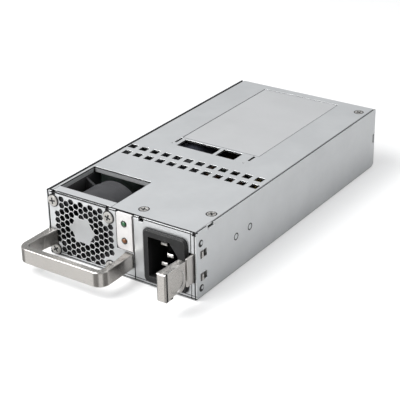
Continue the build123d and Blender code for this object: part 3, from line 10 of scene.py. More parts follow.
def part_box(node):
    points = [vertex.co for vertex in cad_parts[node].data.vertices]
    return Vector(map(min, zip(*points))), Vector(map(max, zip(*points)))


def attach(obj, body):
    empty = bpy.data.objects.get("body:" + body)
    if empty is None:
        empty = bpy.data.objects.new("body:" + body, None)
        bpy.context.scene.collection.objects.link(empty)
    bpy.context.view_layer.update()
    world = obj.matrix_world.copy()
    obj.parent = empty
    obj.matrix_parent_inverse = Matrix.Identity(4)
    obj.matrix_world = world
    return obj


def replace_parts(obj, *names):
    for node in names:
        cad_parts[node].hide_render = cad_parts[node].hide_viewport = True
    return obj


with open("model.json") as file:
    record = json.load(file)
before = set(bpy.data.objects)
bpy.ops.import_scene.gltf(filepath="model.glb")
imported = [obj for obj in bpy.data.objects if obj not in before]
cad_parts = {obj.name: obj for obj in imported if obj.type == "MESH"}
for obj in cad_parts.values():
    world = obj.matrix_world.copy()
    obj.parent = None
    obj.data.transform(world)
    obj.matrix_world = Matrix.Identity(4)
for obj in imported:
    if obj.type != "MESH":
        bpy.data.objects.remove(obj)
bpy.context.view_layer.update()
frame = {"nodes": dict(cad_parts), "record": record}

# Driving dimensions in metres, in the model's frame
MM = 0.001
FRONT_Y = -101.6 * MM
SIDE_X = 50.8 * MM
COVER_TOP = 40.0 * MM
SHEET = 1.0 * MM

# Fan guard's screws: shank as radius and length, cross recess as arm length, arm width and
# depth, turn of each cross in degrees, black ring of painted shade as outer radius and height
GUARD_CENTRE = (-26.4 * MM, 19.2 * MM)
GUARD_PITCH = (39.2 * MM, 30.4 * MM)
GUARD_HEAD_RADIUS = 3.3 * MM
GUARD_HEAD_HEIGHT = 1.0 * MM
GUARD_SHANK = (1.5 * MM, 9.0 * MM)
GUARD_RECESS = (2.6 * MM, 1.4 * MM, 0.9 * MM)
GUARD_TURNS = (8, -21, 33, 14)
GUARD_RING = (3.85 * MM, 0.3 * MM)
GUARD_RING_GAP = 0.02 * MM

# Rounded side of a pan head, as shares of its radius and height
PAN_CROWN = ((0.86, 0.98), (0.97, 0.8), (1.0, 0.5))

# Lid's screws: places from the middle and behind the front, the rest as for the guard's
COVER_SCREWS = ((10.4 * MM, 9.5 * MM), (44.4 * MM, 24.0 * MM), (43.7 * MM, 193.4 * MM))
COVER_HEAD_RADIUS = 2.5 * MM
COVER_SEAT_RADIUS = 3.2 * MM
COVER_SHANK = (1.5 * MM, 6.0 * MM)
COVER_RECESS = (2.5 * MM, 1.35 * MM, 0.8 * MM)
COVER_TURNS = (12, 40, -28)
COVER_RING_GAP = 0.01 * MM
COVER_RING_HEIGHT = 0.2 * MM
COVER_RING_SINK = 0.22 * MM

# Cross recess: shares of its depth and arms for the cutter's rise and taper, and its black floor of
# painted shade
RECESS_LIFT = 0.6
RECESS_TAPER = 0.45
RECESS_SHADE = 0.12 * MM
RECESS_SHADE_SHARE = 0.9

# Rivet's button and groove, as radius and height from the wall's face
RIVET_PROFILE = [(radius * MM, height * MM) for radius, height in (
    (0, -0.14), (0.9, -0.14), (1.15, -0.02), (1.5, -0.02), (1.6, -0.3), (2.28, -0.3), (1.6, -0.7),
    (1.6, -2.0), (0, -2.0))]
PANEL_RIVET_DEPTH = 4.3 * MM
LATCH_RIVET_HEIGHT = 21.8 * MM
# Of each rivet node: radii of the black ring of painted shade in its groove, shift of its hole to
# the rear, and the rivets as side of the case, distance behind the front and height
RIVETS = {
    "panel_rivets": ((1.1 * MM, 2.1 * MM), 0.8 * MM, (
        (1, PANEL_RIVET_DEPTH, 6.1 * MM), (1, PANEL_RIVET_DEPTH, 32.8 * MM),
        (-1, PANEL_RIVET_DEPTH, 20.0 * MM), (-1, PANEL_RIVET_DEPTH, 27.0 * MM))),
    "latch_rivets": ((1.55 * MM, 2.2 * MM), 0.0, (
        (1, 38.3 * MM, LATCH_RIVET_HEIGHT), (1, 52.4 * MM, LATCH_RIVET_HEIGHT))),
}
GROOVE_HEIGHT = 0.05 * MM
GROOVE_SINK = 0.02 * MM

# Status lamps: places on the plate, and ring as inner radius, outer radius and height
LAMPS = ((3.7 * MM, 33.2 * MM), (3.7 * MM, 22.9 * MM))
LAMP_RING = (1.62 * MM, 1.95 * MM, 0.22 * MM)
PLATE_FACE = 0.2 * MM

# Inlet's flange with its ribs, depth of the painted shade in its cavity, and bright length of its
# blades' tips before their painted shade
RIB_PITCH = 0.8 * MM
RIB_WIDTH = 0.36 * MM
RIB_STAND = 0.28 * MM
FLANGE_BEVEL = 0.9 * MM
FLANGE_CORNER = 3.4 * MM
CAVITY_DEPTH = 27.0 * MM
BLADE_TIP = 0.8 * MM

# Label's printed outline
OUTLINE_WIDTH = 0.28 * MM
OUTLINE_THICKNESS = 0.05 * MM

# Wire turns: new piece, node, its core, outer and inner radius and width of the ring, wire's
# radius, number of turns, middles of the bare gaps and their angle in degrees
WINDINGS = (
    ("boost_choke_turns", "boost_choke_winding", "boost_choke_core",
     (13.0 * MM, 7.0 * MM), 11.0 * MM, 0.6 * MM, 38, (90,), 35),
    ("filter_choke_turns", "filter_choke_windings", "filter_choke_core",
     (9.5 * MM, 5.0 * MM), 9.0 * MM, 0.5 * MM, 34, (90, 270), 30),
)
# Wire's section: number of sides, share of its radius, and radius of a turn's corners in its own
WIRE_SIDES = 6
WIRE_FILL = 0.96
WIRE_CORNER = 1.2

# Round forms: steps round a turned piece, and the angles of edges that stay sharp, in degrees
ROUND_STEPS = 40
PIECE_SHARP = 40
SCREW_SHARP = 35
WIRE_SHARP = 70

# Painted shade lines, each a block given by axis, middle and half width; SKIN keeps one on a face
LINE = 0.3 * MM
SKIN = 0.15 * MM
SEAM_SIDE = 49.65 * MM
FRONT_SPAN = ("side", 24.0 * MM, 24.5 * MM)
SEAM_LINES = (
    # Painted shade in the gaps between the walls, the lid and the front sheets
    (("side", SEAM_SIDE, 0.65 * MM), ("height", COVER_TOP, LINE)),
    (("side", SEAM_SIDE, 0.35 * MM), ("depth", FRONT_Y, 0.9 * MM)),
    (("depth", FRONT_Y + 1.35 * MM, 0.6 * MM), ("height", COVER_TOP, LINE)),
    (("height", SHEET, LINE), ("depth", FRONT_Y, LINE)),
    (("height", SHEET + 1.5 * MM, 0.22 * MM), ("depth", FRONT_Y, SKIN)),
    # Painted shade along a folded strip and in a relief at the front right corner
    (("right", SEAM_SIDE - 2.3 * MM, 0.28 * MM), ("depth", FRONT_Y, SKIN)),
    (("right", SEAM_SIDE - 0.2 * MM, 1.2 * MM), ("height", COVER_TOP, 1.6 * MM),
     ("depth", FRONT_Y, 1.6 * MM)),
    # Cut edges of the front sheets and of the lid, in painted shade
    (("depth", FRONT_Y + 0.55 * MM, 0.4 * MM), ("height", 19.5 * MM, 18.0 * MM), FRONT_SPAN),
    (("height", COVER_TOP - 0.5 * MM, 0.35 * MM), FRONT_SPAN),
)

# Painted shade on the thumb pad's flap line and lower mark: middle behind the pad's front, half
# length, reach inwards
PAD_FLAP = (1.5 * MM, 0.65 * MM, 0.4 * MM)
PAD_MARK = (8.0 * MM, 3.6 * MM, 0.9 * MM)

# Painted dark reflections as bands on rounded nickel corners: level angles from the front in
# degrees, the cosines between which a band fades in, and its strength
BAND_ANGLES = (20.0, 66.0)
BAND_FADE = (0.955, 0.992)
BAND_STRENGTH = 0.75

# What every finish shares: the coat's roughness, the noise values between which mottling and grain
# run, openness and painted shade of a crevice, and the cosines over which a painted edge highlight
# grows
COAT_ROUGHNESS = 0.12
MOTTLE_SPLIT = (0.35, 0.65)
GRAIN_SPLIT = (0.3, 0.7)
CREVICE_REACH = (0.35, 0.9)
CREVICE_SHADE = (0.94, 0.0)
EDGE_TURN = (0.995, 0.85)

# Colours painted into a finish: shade in seams and crevices, dark reflections, edge highlights
SEAM_COLOUR = (0.012, 0.012, 0.012, 1)
CREVICE_COLOUR = (0.01, 0.01, 0.01, 1)
BAND_COLOUR = (0.05, 0.045, 0.04, 1)
EDGE_HIGHLIGHT_COLOUR = (0.93, 0.93, 0.93, 1)

# Room: its light from low to high, then a dark gap's level direction, the cosines over which it
# fades in and the share of light that is left in it
ROOM_TONES = ((0.0, (0.10, 0.10, 0.105, 1)), (0.55, (0.58, 0.59, 0.60, 1)))
DARK_GAP_DIRECTION = (0.57, -0.82, 0.0)
DARK_GAP_FADE = (0.62, 0.92)
DARK_GAP_LEVEL = 0.04

# Floor: half its side, its colour and its glow for the camera
FLOOR_HALF = 6.0
FLOOR_COLOUR = (0.62, 0.62, 0.62, 1)
FLOOR_LIFT = 0.35

# Area lamps: name, place, width and height, power in watts
STUDIO_LAMPS = (
    ("key", (-0.32, -0.42, 0.7), (0.6, 0.6), 9.0),
    ("front_fill", (-0.2, -1.1, 0.5), (0.8, 0.5), 3.0),
    ("side_fill", (1.0, 0.5, 0.6), (0.5, 0.8), 3.6),
)
LAMP_TARGET = (0, 0, 0.02)

# Photograph's camera: angles in degrees, distance and offsets from the front face's middle
CAMERA_AZIMUTH = 34.77
CAMERA_ELEVATION = 26.12
CAMERA_ROLL = -1.11
CAMERA_OFFSET = (43.4 * MM, 41.8 * MM)
CAMERA_DISTANCE = 673.7 * MM
CAMERA_LENS = 109.9
CAMERA_SENSOR = 36.0
CAMERA_CLIP = (0.01, 20.0)

FINISHES = {}


# Numbers or colours on a node's sockets, by their names
def put(node, **values):
    for name, value in values.items():
        node.inputs[name.replace("_", " ")].default_value = value


# Output of a maths node: each input is a socket to link or a value to set
def maths(tree, operation, *inputs, kind="ShaderNodeMath", output="Value"):
    node = tree.nodes.new(kind)
    node.operation = operation
    for socket, value in zip(node.inputs, inputs):
        if isinstance(value, bpy.types.NodeSocket):
            tree.links.new(value, socket)
        else:
            socket.default_value = value
    return node.outputs[output]


# One range of numbers mapped to another
def ranged(tree, value, source, target):
    node = tree.nodes.new("ShaderNodeMapRange")
    put(node, From_Min=source[0], From_Max=source[1], To_Min=target[0], To_Max=target[1])
    tree.links.new(value, node.inputs["Value"])
    return node.outputs["Result"]


# Colour socket blended towards a plain colour by a factor
def blend(tree, factor, base, colour):
    node = tree.nodes.new("ShaderNodeMix")
    node.data_type = "RGBA"
    node.inputs[7].default_value = colour
    tree.links.new(factor, node.inputs[0])
    tree.links.new(base, node.inputs[6])
    return node.outputs[2]


# Colour ramp between two stops, each a position and a colour
def ramp(tree, value, stops):
    node = tree.nodes.new("ShaderNodeValToRGB")
    for element, (position, colour) in zip(node.color_ramp.elements, stops):
        element.position = position
        element.color = colour
    tree.links.new(value, node.inputs["Fac"])
    return node.outputs["Color"]


# Finish with mottled colour, uneven roughness and a fine bump, all from object coordinates
def finish(name, low, high, metallic=0.0, rough=(0.4, 0.5), mottle=60.0, grain=900.0,
           stretch=(1, 1, 1), bump=0.1, depth=0.05 * MM, round_edges=0.0, coat=0.0, specular=0.5,
           crevice=0.0, edge_light=0.0, brushed=0.0):
    material = bpy.data.materials.new(name)
    material.use_nodes = True
    tree = material.node_tree
    nodes, links = tree.nodes, tree.links
    shader = nodes["Principled BSDF"]
    put(shader, Metallic=metallic, Coat_Weight=coat, Coat_Roughness=COAT_ROUGHNESS,
        Specular_IOR_Level=specular)
    place = nodes.new("ShaderNodeTexCoord")
    # Brushing along the level faces spreads what they reflect upwards and downwards
    if brushed:
        put(shader, Anisotropic=brushed, Anisotropic_Rotation=0.25)
        level = nodes.new("ShaderNodeTangent")
        level.direction_type = "RADIAL"
        level.axis = "Z"
        links.new(level.outputs["Tangent"], shader.inputs["Tangent"])
    # Broad mottling between the two colours
    broad = nodes.new("ShaderNodeTexNoise")
    put(broad, Scale=mottle, Detail=4.0, Roughness=0.6)
    links.new(place.outputs["Object"], broad.inputs["Vector"])
    colour = ramp(tree, broad.outputs["Fac"],
                  ((MOTTLE_SPLIT[0], (*low, 1)), (MOTTLE_SPLIT[1], (*high, 1))))
    # Painted shade: ambient occlusion darkens the colour in seams and corners
    if crevice:
        shade = nodes.new("ShaderNodeAmbientOcclusion")
        shade.samples = 6
        put(shade, Distance=crevice)
        hidden = ranged(tree, shade.outputs["AO"], CREVICE_REACH, CREVICE_SHADE)
        colour = blend(tree, hidden, colour, CREVICE_COLOUR)
    # Fine grain, stretched for brushed metal
    turn = nodes.new("ShaderNodeMapping")
    put(turn, Scale=stretch)
    fine = nodes.new("ShaderNodeTexNoise")
    put(fine, Scale=grain, Detail=3.0, Roughness=0.55)
    links.new(place.outputs["Object"], turn.inputs["Vector"])
    links.new(turn.outputs["Vector"], fine.inputs["Vector"])
    links.new(ranged(tree, fine.outputs["Fac"], GRAIN_SPLIT, rough), shader.inputs["Roughness"])
    relief = nodes.new("ShaderNodeBump")
    put(relief, Strength=bump, Distance=depth)
    links.new(fine.outputs["Fac"], relief.inputs["Height"])
    links.new(relief.outputs["Normal"], shader.inputs["Normal"])
    if round_edges:
        edge = nodes.new("ShaderNodeBevel")
        edge.samples = 4
        put(edge, Radius=round_edges)
        links.new(edge.outputs["Normal"], relief.inputs["Normal"])
        # Painted highlight: edges are brightened in colour a little above the faces
        flat = nodes.new("ShaderNodeNewGeometry")
        turned = maths(tree, "DOT_PRODUCT", edge.outputs["Normal"], flat.outputs["Normal"],
                       kind="ShaderNodeVectorMath")
        highlight = ranged(tree, turned, EDGE_TURN, (0.0, edge_light))
        colour = blend(tree, highlight, colour, EDGE_HIGHLIGHT_COLOUR)
    links.new(colour, shader.inputs["Base Color"])
    FINISHES[name] = material
    return material


# Painted shade in dark lines where sheets meet and in hollows, from blocks in the object's
# coordinates
def seam_lines(name, lines):
    tree = FINISHES[name].node_tree
    base = tree.nodes["Principled BSDF"].inputs["Base Color"]
    place = tree.nodes.new("ShaderNodeTexCoord")
    split = tree.nodes.new("ShaderNodeSeparateXYZ")
    tree.links.new(place.outputs["Object"], split.inputs["Vector"])
    right, depth, height = (split.outputs[axis] for axis in "XYZ")
    sources = {"side": maths(tree, "ABSOLUTE", right), "right": right, "depth": depth,
               "height": height}
    total = None
    for limits in lines:
        inside = None
        for axis, middle, reach in limits:
            near = maths(tree, "COMPARE", sources[axis], middle, reach)
            inside = near if inside is None else maths(tree, "MULTIPLY", inside, near)
        total = inside if total is None else maths(tree, "MAXIMUM", total, inside)
    tree.links.new(blend(tree, total, base.links[0].from_socket, SEAM_COLOUR), base)


# Painted dark reflections down rounded metal corners, at the same angles from the front and the rear
def bend_bands(name):
    tree = FINISHES[name].node_tree
    base = tree.nodes["Principled BSDF"].inputs["Base Color"]
    place = tree.nodes.new("ShaderNodeTexCoord")
    mirrored = maths(tree, "ABSOLUTE", place.outputs["Normal"], kind="ShaderNodeVectorMath",
                     output="Vector")
    colour = base.links[0].from_socket
    for angle in map(math.radians, BAND_ANGLES):
        aimed = maths(tree, "DOT_PRODUCT", mirrored, (math.sin(angle), math.cos(angle), 0),
                      kind="ShaderNodeVectorMath")
        amount = ranged(tree, aimed, BAND_FADE, (0.0, BAND_STRENGTH))
        colour = blend(tree, amount, colour, BAND_COLOUR)
    tree.links.new(colour, base)


# Circuit board: solder mask with a maze of tracks
def board_finish(name):
    material = finish(name, (0.012, 0.075, 0.035), (0.018, 0.095, 0.045), rough=(0.3, 0.42),
                      grain=500, coat=0.3)
    nodes, links = material.node_tree.nodes, material.node_tree.links
    tracks = nodes.new("ShaderNodeTexBrick")
    put(tracks, Scale=180.0, Mortar_Size=0.06, Color1=(0.012, 0.07, 0.032, 1),
        Color2=(0.03, 0.14, 0.07, 1), Mortar=(0.01, 0.05, 0.025, 1))
    links.new(nodes["Texture Coordinate"].outputs["Object"], tracks.inputs["Vector"])
    links.new(tracks.outputs["Color"], nodes["Principled BSDF"].inputs["Base Color"])


# Sheets, bars and screws
finish("case_steel", (0.64, 0.652, 0.66), (0.685, 0.697, 0.705), metallic=0.65, rough=(0.34, 0.44),
       mottle=45, grain=2200, bump=0.12, round_edges=0.4 * MM, crevice=1.8 * MM, edge_light=0.35)
finish("panel_steel", (0.62, 0.632, 0.64), (0.665, 0.677, 0.685), metallic=0.65, rough=(0.34, 0.44),
       mottle=70, grain=2200, bump=0.12, round_edges=0.4 * MM, crevice=1.8 * MM, edge_light=0.35)
finish("nickel", (0.52, 0.497, 0.47), (0.55, 0.527, 0.50), metallic=1.0, rough=(0.26, 0.3),
       mottle=25, grain=9000, stretch=(0.2, 0.2, 1), bump=0.015, round_edges=0.5 * MM,
       crevice=2.5 * MM, edge_light=0.75, brushed=0.9)
finish("latch_nickel", (0.54, 0.517, 0.49), (0.58, 0.557, 0.53), metallic=0.65, rough=(0.3, 0.36),
       mottle=25, grain=9000, stretch=(0.2, 0.2, 1), bump=0.015, round_edges=0.3 * MM,
       edge_light=0.6)
finish("screw_steel", (0.50, 0.485, 0.46), (0.60, 0.585, 0.56), metallic=0.75, rough=(0.34, 0.44),
       mottle=500, grain=3000, bump=0.05, round_edges=0.15 * MM, crevice=1.6 * MM, edge_light=0.3)
finish("spring_steel", (0.34, 0.34, 0.34), (0.42, 0.42, 0.42), metallic=1.0, rough=(0.25, 0.4),
       mottle=200, grain=2400, stretch=(1, 0.2, 1), bump=0.06)
# Moulded plastic
finish("fan_black", (0.038, 0.038, 0.041), (0.050, 0.050, 0.053), rough=(0.48, 0.62), specular=0.3,
       mottle=160, grain=3200, bump=0.25, round_edges=0.25 * MM, crevice=9 * MM, edge_light=0.1)
finish("rotor_black", (0.020, 0.020, 0.022), (0.030, 0.030, 0.032), rough=(0.34, 0.46), mottle=200,
       grain=2600, bump=0.15)
finish("inlet_black", (0.020, 0.020, 0.020), (0.027, 0.027, 0.028), rough=(0.42, 0.56),
       specular=0.25, mottle=260, grain=3600, bump=0.3, round_edges=0.35 * MM, crevice=16 * MM,
       edge_light=0.14)
# Status plate, its lamps and the label
finish("plate_white", (0.70, 0.68, 0.67), (0.76, 0.745, 0.735), rough=(0.4, 0.5), mottle=120,
       grain=3000, bump=0.08)
finish("lamp_green", (0.008, 0.075, 0.022), (0.016, 0.125, 0.04), rough=(0.1, 0.16), mottle=600,
       grain=2000, bump=0.03, coat=0.6)
finish("lamp_amber", (0.16, 0.052, 0.012), (0.23, 0.085, 0.022), rough=(0.1, 0.16), mottle=600,
       grain=2000, bump=0.03, coat=0.6)
finish("label_film", (0.66, 0.665, 0.67), (0.70, 0.705, 0.71), metallic=0.6, rough=(0.32, 0.4),
       mottle=24, grain=2200, bump=0.05)
# Board and electronic parts
board_finish("board_green")
finish("contact_gold", (0.62, 0.40, 0.12), (0.72, 0.48, 0.16), metallic=1.0, rough=(0.22, 0.32),
       mottle=400, grain=2400, bump=0.04)
finish("copper_wire", (0.13, 0.060, 0.032), (0.20, 0.090, 0.045), metallic=0.35, rough=(0.22, 0.34),
       mottle=300, grain=1800, bump=0.05, coat=0.5)
finish("ferrite", (0.035, 0.035, 0.038), (0.055, 0.055, 0.058), rough=(0.5, 0.66), mottle=400,
       grain=2600, bump=0.3)
finish("choke_coat", (0.10, 0.13, 0.11), (0.13, 0.17, 0.14), rough=(0.45, 0.6), mottle=300,
       grain=2400, bump=0.25)
finish("heatsink_metal", (0.50, 0.51, 0.52), (0.58, 0.59, 0.60), metallic=1.0, rough=(0.3, 0.44),
       mottle=120, grain=2200, stretch=(1, 0.1, 1), bump=0.1)
finish("transistor_black", (0.018, 0.018, 0.018), (0.026, 0.026, 0.026), rough=(0.5, 0.62),
       mottle=400, grain=3000, bump=0.2)
finish("capacitor_sleeve", (0.030, 0.032, 0.042), (0.042, 0.045, 0.058), rough=(0.24, 0.34),
       mottle=100, grain=1200, bump=0.05, coat=0.3)
finish("box_capacitor", (0.060, 0.062, 0.066), (0.075, 0.077, 0.082), rough=(0.4, 0.5), mottle=200,
       grain=2400, bump=0.12)
finish("disc_blue", (0.03, 0.08, 0.26), (0.05, 0.11, 0.32), rough=(0.25, 0.36), mottle=300,
       grain=1400, bump=0.1, coat=0.3)
finish("fuse_glass", (0.60, 0.57, 0.50), (0.68, 0.65, 0.58), rough=(0.25, 0.35), mottle=300,
       grain=2000, bump=0.06)
finish("insulation_film", (0.36, 0.35, 0.30), (0.42, 0.41, 0.35), rough=(0.35, 0.5), mottle=100,
       grain=1400, bump=0.06)
finish("wire_brown", (0.050, 0.022, 0.014), (0.070, 0.032, 0.020), rough=(0.4, 0.5), mottle=300,
       grain=2400, bump=0.1)
finish("tape_yellow", (0.22, 0.16, 0.03), (0.28, 0.20, 0.04), rough=(0.3, 0.42), mottle=200,
       grain=1400, stretch=(1, 1, 3), bump=0.1)
finish("magnet_dark", (0.05, 0.048, 0.045), (0.07, 0.068, 0.064), rough=(0.5, 0.6), mottle=300,
       grain=2600, bump=0.15)
# Black for painted shade in gaps and recesses, the inlet's blades and the label's outline
finish("gap_black", (0.010, 0.010, 0.010), (0.016, 0.016, 0.016), rough=(0.5, 0.6), mottle=300,
       grain=2600, bump=0.1)
finish("pin_bright", (0.72, 0.70, 0.67), (0.78, 0.76, 0.73), metallic=0.8, rough=(0.25, 0.35),
       mottle=300, grain=3000, bump=0.04)
finish("outline_grey", (0.16, 0.17, 0.18), (0.22, 0.23, 0.24), rough=(0.4, 0.5), mottle=200,
       grain=2600, bump=0.05)

# Every carried-over CAD node takes the finish of its slot in the record, apart from two
OWN_FINISHES = {"inlet_blades": "pin_bright", "latch_lever": "latch_nickel"}
for entry in frame["record"]["subparts"]:
    node = frame["nodes"][entry["node"]]
    node.data.materials.clear()
    node.data.materials.append(FINISHES[OWN_FINISHES.get(entry["node"], entry["material_slot"])])


# Piece from a bmesh, riding on a body, with its finish
def piece(name, mesh, material, body="housing", sharp=PIECE_SHARP):
    data = bpy.data.meshes.new(name)
    bmesh.ops.recalc_face_normals(mesh, faces=mesh.faces)
    mesh.to_mesh(data)
    mesh.free()
    for face in data.polygons:
        face.use_smooth = True
    data.set_sharp_from_angle(angle=math.radians(sharp))
    data.materials.append(FINISHES[material])
    made = bpy.data.objects.new(name, data)
    bpy.context.collection.objects.link(made)
    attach(made, body)
    return made


# Circle of vertices about local Z, at a height and shifted along local X; one step gives a point
def circle(mesh, place, radius, height, shift=0.0, steps=ROUND_STEPS):
    angles = [2 * math.pi * i / ROUND_STEPS for i in range(steps)]
    return [mesh.verts.new(place @ Vector((radius * math.cos(angle) + shift,
                                           radius * math.sin(angle), height)))
            for angle in angles]


# Solid of revolution about local Z from (radius, height) points
def lathe(mesh, profile, place):
    rings = [circle(mesh, place, radius, height, steps=1 if radius == 0 else ROUND_STEPS)
             for radius, height in profile]
    for low, high in zip(rings, rings[1:]):
        for i in range(ROUND_STEPS):
            corners = [low[i % len(low)], low[(i + 1) % len(low)],
                       high[(i + 1) % len(high)], high[i % len(high)]]
            mesh.faces.new(list(dict.fromkeys(corners)))


# Closed ring from height 0 up to its thickness, bevelled outside, its hole shifted if asked
def washer(mesh, inner, outer, thickness, place, shift=0.0):
    section = ((inner, 0, shift), (outer, 0, 0), (outer, thickness * 0.6, 0),
               (outer - thickness * 0.4, thickness, 0), (inner, thickness, shift))
    rings = [circle(mesh, place, radius, height, moved) for radius, height, moved in section]
    for low, high in zip(rings, rings[1:] + rings[:1]):
        for i in range(ROUND_STEPS):
            j = (i + 1) % ROUND_STEPS
            mesh.faces.new((low[i], low[j], high[j], high[i]))


# Tapered four-armed cutter of a cross recess, at the height of the head's top
def cross_cutter(mesh, recess, top, place):
    reach, width, deep = recess
    half = width / 2
    outline = []
    for quarter in range(4):
        turn = Matrix.Rotation(math.pi / 2 * quarter, 3, "Z")
        outline += [turn @ Vector((half, -half, 0)), turn @ Vector((reach, -half, 0)),
                    turn @ Vector((reach, half, 0))]
    upper = [mesh.verts.new(place @ Vector((p.x, p.y, top + deep * RECESS_LIFT))) for p in outline]
    lower = [mesh.verts.new(place @ Vector((p.x * RECESS_TAPER, p.y * RECESS_TAPER, top - deep)))
             for p in outline]
    mesh.faces.new(upper)
    mesh.faces.new(list(reversed(lower)))
    for i in range(len(outline)):
        j = (i + 1) % len(outline)
        mesh.faces.new((upper[i], upper[j], lower[j], lower[i]))


# Screws with cross recesses, cut once by a boolean and kept as plain mesh
def screws(name, node, profile, recess, places):
    top = profile[0][1]
    solid, cutter = bmesh.new(), bmesh.new()
    for place in places:
        lathe(solid, profile, place)
        cross_cutter(cutter, recess, top, place)
    made = piece(name, solid, "screw_steel")
    data = bpy.data.meshes.new(name + "_cut")
    bmesh.ops.recalc_face_normals(cutter, faces=cutter.faces)
    cutter.to_mesh(data)
    cutter.free()
    tool = bpy.data.objects.new(name + "_cut", data)
    bpy.context.collection.objects.link(tool)
    cut = made.modifiers.new("recess", "BOOLEAN")
    cut.object = tool
    cut.solver = "EXACT"
    bpy.context.view_layer.update()
    graph = bpy.context.evaluated_depsgraph_get()
    result = bpy.data.meshes.new_from_object(made.evaluated_get(graph))
    made.modifiers.clear()
    made.data = result
    made.data.set_sharp_from_angle(angle=math.radians(SCREW_SHARP))
    bpy.data.objects.remove(tool)
    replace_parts(made, node)
    # Painted shade: a black floor in each recess
    arm, width = (size * RECESS_SHADE_SHARE for size in recess[:2])
    floors = bmesh.new()
    for place in places:
        sunk = place @ Matrix.Translation((0, 0, top - RECESS_SHADE))
        cross_cutter(floors, (arm, width, RECESS_SHADE * 0.5), 0, sunk)
    piece(name + "_recess", floors, "gap_black")


# Placement of a piece's local +Z along a direction, turned about it
def facing(point, direction, turn=0.0):
    aim = Vector(direction).to_track_quat("Z", "Y").to_matrix().to_4x4()
    return Matrix.Translation(point) @ aim @ Matrix.Rotation(math.radians(turn), 4, "Z")


# Painted shade lines along the seams of the case and its front sheets, and painted dark reflections
# down the nickel's bends
for seamed in ("case_steel", "panel_steel"):
    seam_lines(seamed, SEAM_LINES)
bend_bands("nickel")
# The thumb pad's front is a folded flap: painted shade as a dark line behind it, and one under its
# side
pad_low, pad_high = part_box("latch_pad")
seam_lines("nickel", (
    (("depth", pad_low.y + PAD_FLAP[0], PAD_FLAP[1]), ("right", pad_high.x, PAD_FLAP[2])),
    (("depth", pad_low.y + PAD_MARK[0], PAD_MARK[1]), ("height", pad_low.z, PAD_MARK[2]),
     ("right", pad_high.x, PAD_MARK[2])),
))
# Painted shade over the inlet's cavity, and over its blades behind their tips
blade_low, blade_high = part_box("inlet_blades")
blade_middle, blade_half = (blade_low.y + blade_high.y) / 2, (blade_high.y - blade_low.y) / 2
seam_lines("pin_bright", ((("depth", blade_middle + BLADE_TIP, blade_half),),))
seam_lines("inlet_black", (
    (("depth", FRONT_Y + CAVITY_DEPTH / 2 + FLANGE_BEVEL, CAVITY_DEPTH / 2),),))

# Pan-head screws of the fan guard, each with a black ring of painted shade round it
guard_points = [
    Vector((GUARD_CENTRE[0] + side * GUARD_PITCH[0] / 2, FRONT_Y,
            GUARD_CENTRE[1] + up * GUARD_PITCH[1] / 2))
    for up in (1, -1) for side in (-1, 1)]
radius, height = GUARD_HEAD_RADIUS, GUARD_HEAD_HEIGHT
shank, length = GUARD_SHANK
pan_profile = ((0, height), *((radius * out, height * up) for out, up in PAN_CROWN), (radius, 0),
               (shank, 0), (shank, -length), (0, -length))
screws("guard_screws_pan", "guard_screws", pan_profile, GUARD_RECESS,
       [facing(point, (0, -1, 0), turn) for point, turn in zip(guard_points, GUARD_TURNS)])
rings = bmesh.new()
for point in guard_points:
    washer(rings, radius + GUARD_RING_GAP, *GUARD_RING, facing(point, (0, -1, 0)))
piece("guard_screw_rings", rings, "gap_black")

# Countersunk screws of the cover, flush with its top, each in a black ring of painted shade for its
# groove
radius = COVER_HEAD_RADIUS
shank, length = COVER_SHANK
flush_profile = ((0, 0), (radius, 0), (shank, shank - radius), (shank, -length), (0, -length))
screws("cover_screws_flush", "cover_screws", flush_profile, COVER_RECESS,
       [facing((x, FRONT_Y + depth, COVER_TOP), (0, 0, 1), turn)
        for (x, depth), turn in zip(COVER_SCREWS, COVER_TURNS)])
rings = bmesh.new()
for x, depth in COVER_SCREWS:
    washer(rings, radius + COVER_RING_GAP, COVER_SEAT_RADIUS, COVER_RING_HEIGHT,
           facing((x, FRONT_Y + depth, COVER_TOP - COVER_RING_SINK), (0, 0, 1)))
piece("cover_screw_grooves", rings, "gap_black")

# Flush rivets of the side walls, on the right with black rings of painted shade in their grooves.
# The grooves stand a hair proud, on the right only, where the latch's lugs reach further out.
for node, (groove, shift, spots) in RIVETS.items():
    buttons, rings = bmesh.new(), bmesh.new()
    for side, depth, z in spots:
        place = facing((side * SIDE_X, FRONT_Y + depth, z), (side, 0, 0))
        lathe(buttons, RIVET_PROFILE, place)
        if side > 0:
            washer(rings, *groove, GROOVE_HEIGHT,
                   place @ Matrix.Translation((0, 0, -GROOVE_SINK)), shift)
    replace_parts(piece(node + "_flush", buttons, "case_steel"), node)
    piece(node + "_grooves", rings, "gap_black")

# Dark rings round the two lamps
rings = bmesh.new()
for x, z in LAMPS:
    washer(rings, *LAMP_RING, facing((x, FRONT_Y - PLATE_FACE, z), (0, -1, 0)))
piece("lamp_rings", rings, "gap_black")

# Fine ribs on the top and bottom bevels of the inlet's flange
low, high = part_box("inlet_body")
ribs = bmesh.new()
count = int((high.x - low.x - 2 * FLANGE_CORNER) / RIB_PITCH)
for edge, way in ((high.z, 1), (low.z, -1)):
    for step in range(count + 1):
        x = (low.x + high.x) / 2 + (step - count / 2) * RIB_PITCH
        section = ((low.y, edge - way * FLANGE_BEVEL), (low.y + FLANGE_BEVEL, edge),
                   (low.y + FLANGE_BEVEL - RIB_STAND, edge),
                   (low.y, edge - way * (FLANGE_BEVEL - RIB_STAND)))
        left, right = ([ribs.verts.new((x + side * RIB_WIDTH / 2, y, z)) for y, z in section]
                       for side in (-1, 1))
        ribs.faces.new(left)
        ribs.faces.new(list(reversed(right)))
        for i in range(4):
            j = (i + 1) % 4
            ribs.faces.new((left[i], right[i], right[j], left[j]))
piece("inlet_bevel_ribs", ribs, "inlet_black")

